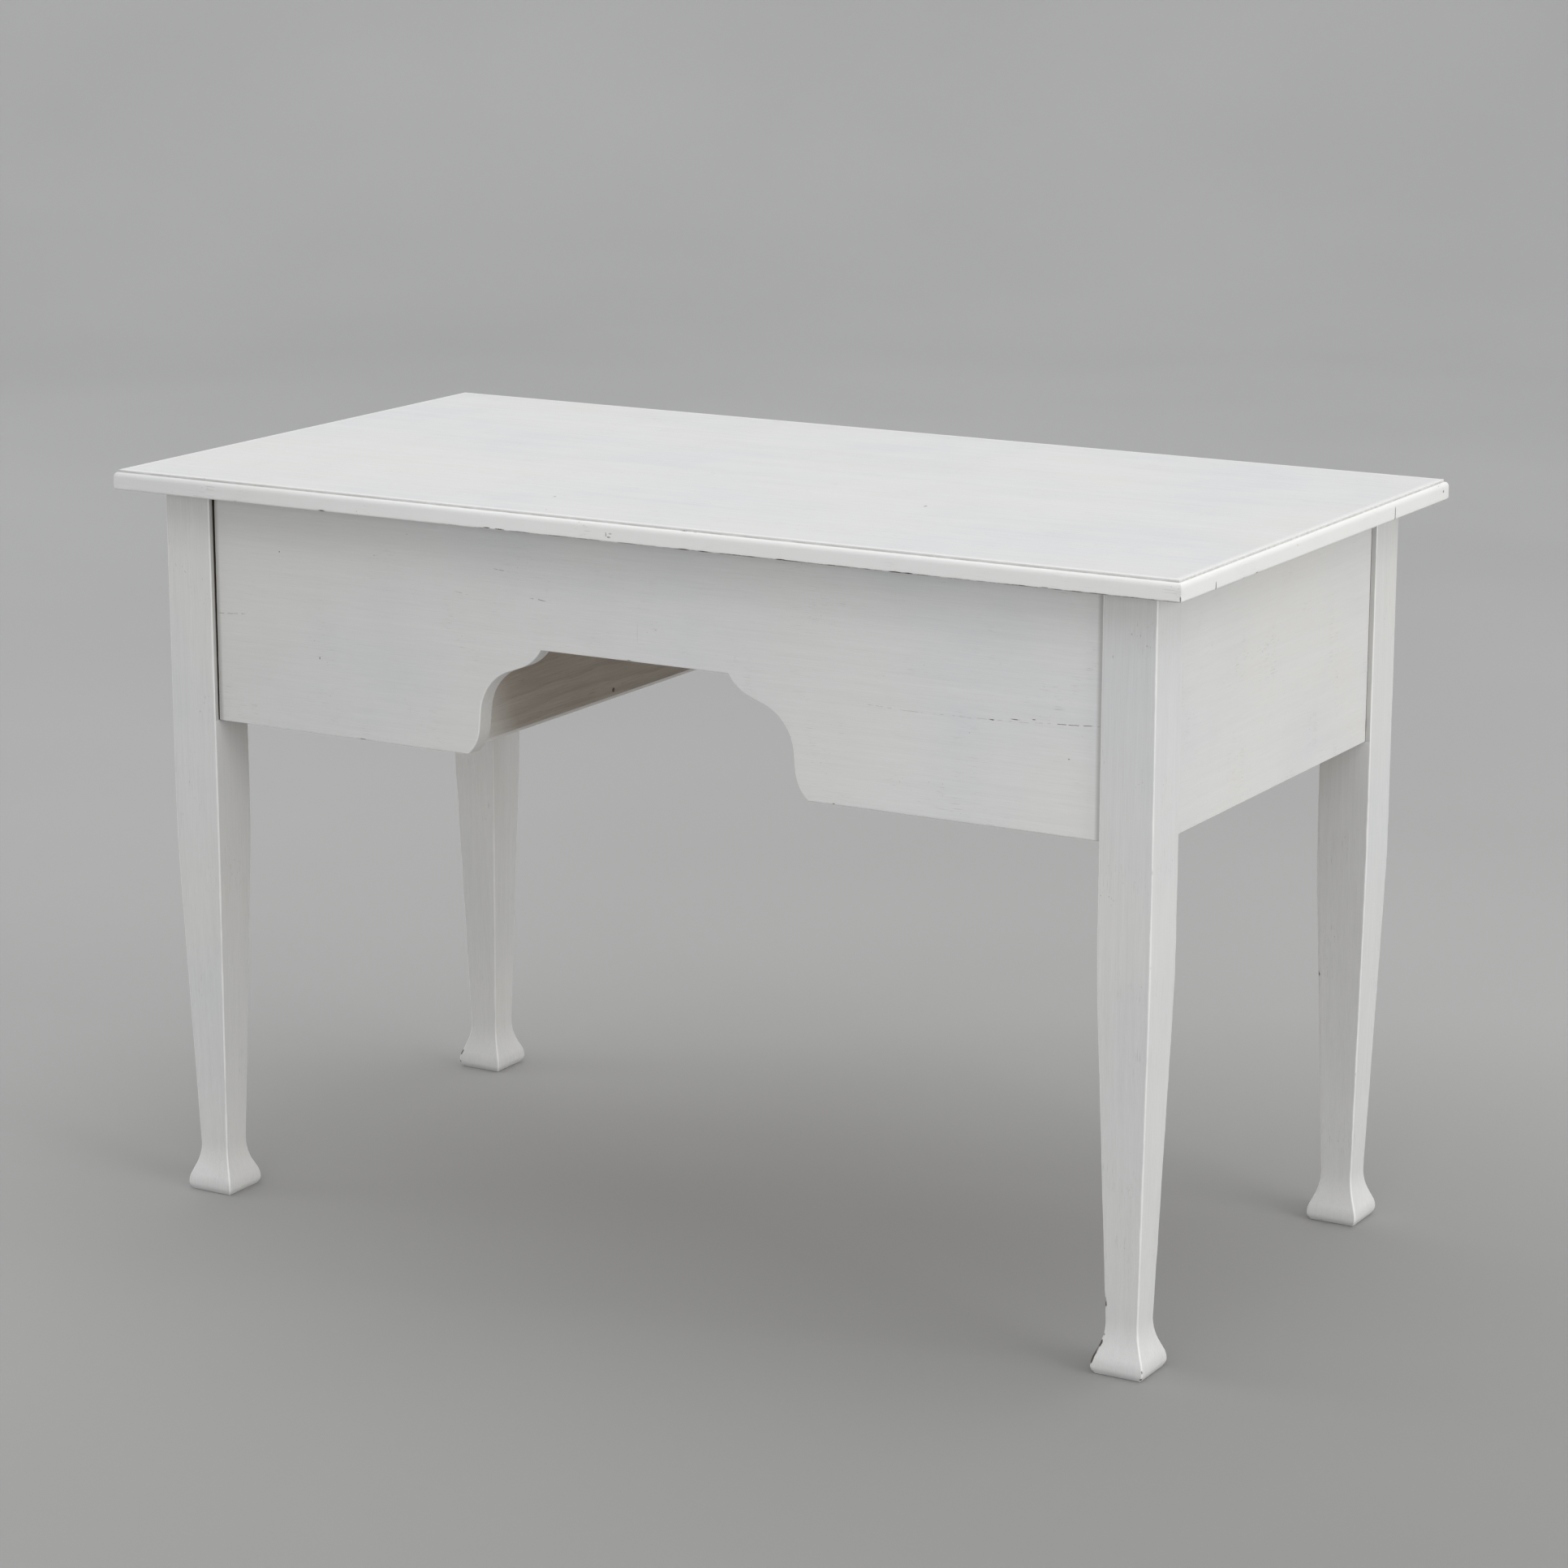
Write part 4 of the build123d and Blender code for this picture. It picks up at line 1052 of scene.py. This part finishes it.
def knob(name):
    """A turned knob: its line is smoothed and spun about the knob's axis, which runs along Y."""
    node = f"{name}_drawer_knob"
    low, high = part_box(node)
    center_x, center_z = (low.x + high.x) / 2, (low.z + high.z) / 2
    points = [Vector(p) * MM for p in KNOB_LINE]
    line = points[:2] + smooth_line(points[1:-1], KNOB_PARTS)[1:] + points[-1:]
    turns = [-2 * math.pi * k / KNOB_SIDES for k in range(KNOB_SIDES)]
    rings = [
        [Vector((center_x + r * math.cos(a), low.y + along, center_z + r * math.sin(a))) for a in turns]
        for r, along in line[1:-1]
    ]
    verts = [v for ring in rings for v in ring]
    # Painted highlight on the knob's widest rim, which is also glossier where hands rub it.
    marks = {"edge": [0.5 * smooth_step(*KNOB_HIGHLIGHT_AND_RUB, r) for r, _ in line[1:-1] for _ in turns]}
    return new_piece(
        f"turned_{name}_knob", verts, skin(rings), paint_knob, f"{name}_drawer", node, marks
    )


# ---- carried parts --------------------------------------------------------------------------

PINE_EASE = 0.5 * MM
FRONT_EASE = 0.8 * MM
WELD_REACH = 0.01 * MM
FLAT_ANGLE = math.radians(1)
EASED_ANGLE = math.radians(40)


def carry(node, material, ease=PINE_EASE):
    """Keeps a CAD part, gives it its material, and takes the sharpness off its arrises.
    Its triangles are first joined into whole faces, because a bevel folds long thin ones over."""
    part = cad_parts[node]
    part.data.materials.clear()
    part.data.materials.append(material)
    if ease:
        weld = part.modifiers.new("weld", "WELD")
        weld.merge_threshold = WELD_REACH
        whole_faces = part.modifiers.new("whole_faces", "DECIMATE")
        whole_faces.decimate_type = "DISSOLVE"
        whole_faces.angle_limit = FLAT_ANGLE
        bevel = part.modifiers.new("ease", "BEVEL")
        bevel.width = ease
        bevel.segments = 2
        bevel.limit_method = "ANGLE"
        bevel.angle_limit = EASED_ANGLE
        bevel.use_clamp_overlap = True
        weighted = part.modifiers.new("weighted", "WEIGHTED_NORMAL")
        weighted.weight = NORMAL_WEIGHT


def carried_parts():
    """Materials for the parts of the CAD that show as they are."""
    carry("top_rail", paint_rail)
    carry("center_rail", paint_rail)
    for side in SIDES:
        carry(f"{side}_lower_rail", paint_rail)
        carry(f"{side}_partition", partition_wood)
        for part in ("outer", "inner", "center"):
            carry(f"{side}_{part}_runner", carcass_y)
            carry(f"{side}_{part}_kicker", carcass_y)
    carry("glue_blocks", carcass_x, ease=0)
    carry("drawer_stops", carcass_x)
    carry("top_screws", steel, ease=0)
    carry("runner_nails", steel, ease=0)
    for name in DRAWERS:
        carry(f"{name}_drawer_front", paint_rail, FRONT_EASE)
        carry(f"{name}_drawer_left_side", pine_y)
        carry(f"{name}_drawer_right_side", pine_y)
        carry(f"{name}_drawer_back", pine_x)
        carry(f"{name}_drawer_bottom", pine_x)
        carry(f"{name}_drawer_knob_screw", steel, ease=0)
        carry(f"{name}_drawer_bottom_nails", steel, ease=0)


# ---- stage, light and camera ----------------------------------------------------------------

FLOOR_RINGS = (0.02, 1.0, 3.0, 6.5)
FLOOR_DROP = 0.3 * MM
WALL_BEND = 3.0
BEND_STEPS = 12
WALL_HEIGHT = 7.0
STAGE_SIDES = 96
STAGE_SHADE_CENTER = (1.6, -1.4, 0.0)
STAGE_DARK = (0.305, 0.305, 0.298)
STAGE_MIDDLE = (0.430, 0.430, 0.424)
STAGE_FAR = (0.505, 0.505, 0.505)
NEAR_FADE = (1.1, 2.7)
FAR_FADE = (3.5, 8.0)
DAYLIGHT = (1.0, 1.0, 1.0)
WARM_LIGHT = (1.0, 0.990, 0.965)
AIR_COLOR = (0.985, 0.990, 1.0, 1.0)
AIR_STRENGTH = 1.03


def stage_grey():
    """Pale grey, faintly uneven, with painted shade that darkens it round a point in front of the table and
    painted light that brightens it far off; from beneath it lets the view through.
    """
    p = Paint("stage_grey")
    tone = p.map(p.cloud(1.7, 3.0), 0.35, 0.65, 0.97, 1.03)
    near = p.node("ShaderNodeVectorMath", {0: p.place, 1: STAGE_SHADE_CENTER}, operation="DISTANCE")
    distance = near.outputs["Value"]
    # Painted shade round a point in front of the table, and painted light far off.
    color = p.mix(p.map(distance, *NEAR_FADE), STAGE_DARK, STAGE_MIDDLE)
    color = p.mix(p.map(distance, *FAR_FADE), color, STAGE_FAR)
    inputs = {"Base Color": p.shade(color, tone), "Roughness": 0.9, "Specular IOR Level": 0.1}
    shader = p.node("ShaderNodeBsdfPrincipled", inputs)
    clear = p.node("ShaderNodeBsdfTransparent")
    beneath = p.node("ShaderNodeNewGeometry").outputs["Backfacing"]
    both = p.node("ShaderNodeMixShader", {0: beneath, 1: shader.outputs[0], 2: clear.outputs[0]})
    output = p.node("ShaderNodeOutputMaterial")
    p.tree.links.new(both.outputs[0], output.inputs[0])
    return p.material


def studio():
    """A round floor that curves up into a wall."""
    line = [(r, 0.0) for r in FLOOR_RINGS]
    for k in range(1, BEND_STEPS + 1):
        turn = k / BEND_STEPS * math.pi / 2
        line.append((FLOOR_RINGS[-1] + WALL_BEND * math.sin(turn), WALL_BEND * (1 - math.cos(turn))))
    line.append((FLOOR_RINGS[-1] + WALL_BEND, WALL_HEIGHT))
    turns = [2 * math.pi * k / STAGE_SIDES for k in range(STAGE_SIDES)]
    rings = [[Vector((r * math.cos(a), r * math.sin(a), z - FLOOR_DROP)) for a in turns] for r, z in line]
    verts = [v for ring in rings for v in ring]
    faces = [tuple(reversed(face)) for face in skin(rings)[:-2]]
    faces.append(tuple(range(STAGE_SIDES)))
    mesh = bpy.data.meshes.new("studio")
    mesh.from_pydata([tuple(v) for v in verts], [], faces)
    mesh.shade_smooth()
    mesh.materials.append(stage_grey())
    studio_object = bpy.data.objects.new("studio", mesh)
    bpy.context.scene.collection.objects.link(studio_object)


def softbox(name, place, aim, size, power, tint=DAYLIGHT):
    """A large rectangular light at place that faces aim."""
    light = bpy.data.lights.new(name, "AREA")
    light.shape = "RECTANGLE"
    light.size, light.size_y = size
    light.energy = power
    light.color = tint
    lamp = bpy.data.objects.new(name, light)
    bpy.context.scene.collection.objects.link(lamp)
    lamp.location = place
    lamp.rotation_euler = (Vector(aim) - Vector(place)).to_track_quat("-Z", "Y").to_euler()


def lights():
    """Four softboxes and a pale sky."""
    middle = (LOW + HIGH) / 2
    softbox("overhead", (1.0, 1.2, 6.2), middle, (4.0, 4.0), 43.0)
    softbox("right", (6.2, -0.6, 2.0), middle, (3.6, 3.2), 140.0, WARM_LIGHT)
    softbox("front", (1.6, -6.4, 1.7), middle, (4.4, 2.6), 70.0)
    softbox("left", (-6.2, -2.5, 2.4), middle, (3.0, 3.0), 40.0)
    world = bpy.data.worlds.new("studio_air")
    bpy.context.scene.world = world
    world.use_nodes = True
    sky = world.node_tree.nodes["Background"]
    sky.inputs["Color"].default_value = AIR_COLOR
    sky.inputs["Strength"].default_value = AIR_STRENGTH


CAMERA_PLACE = (2.1461, -3.6657, 1.4649)
CAMERA_PITCH = math.radians(13.523)
CAMERA_TURN = math.radians(30.252)
LENS = 99.2
SENSOR = 36.0


def camera():
    """Stands to the right of the apron side and looks down on the top."""
    lens = bpy.data.cameras.new("camera")
    lens.lens = LENS
    lens.sensor_width = SENSOR
    viewer = bpy.data.objects.new("camera", lens)
    bpy.context.scene.collection.objects.link(viewer)
    viewer.location = CAMERA_PLACE
    viewer.rotation_euler = (math.pi / 2 - CAMERA_PITCH, 0.0, CAMERA_TURN)
    bpy.context.scene.camera = viewer


bpy.context.scene.view_settings.view_transform = "Standard"
camera()
lights()
studio()
table_top()
for end in ENDS:
    for side in SIDES:
        leg(f"{end}_{side}_leg")
apron()
for side, sign in SIDES.items():
    end_board(side, sign)
carried_parts()
for name in DRAWERS:
    knob(name)
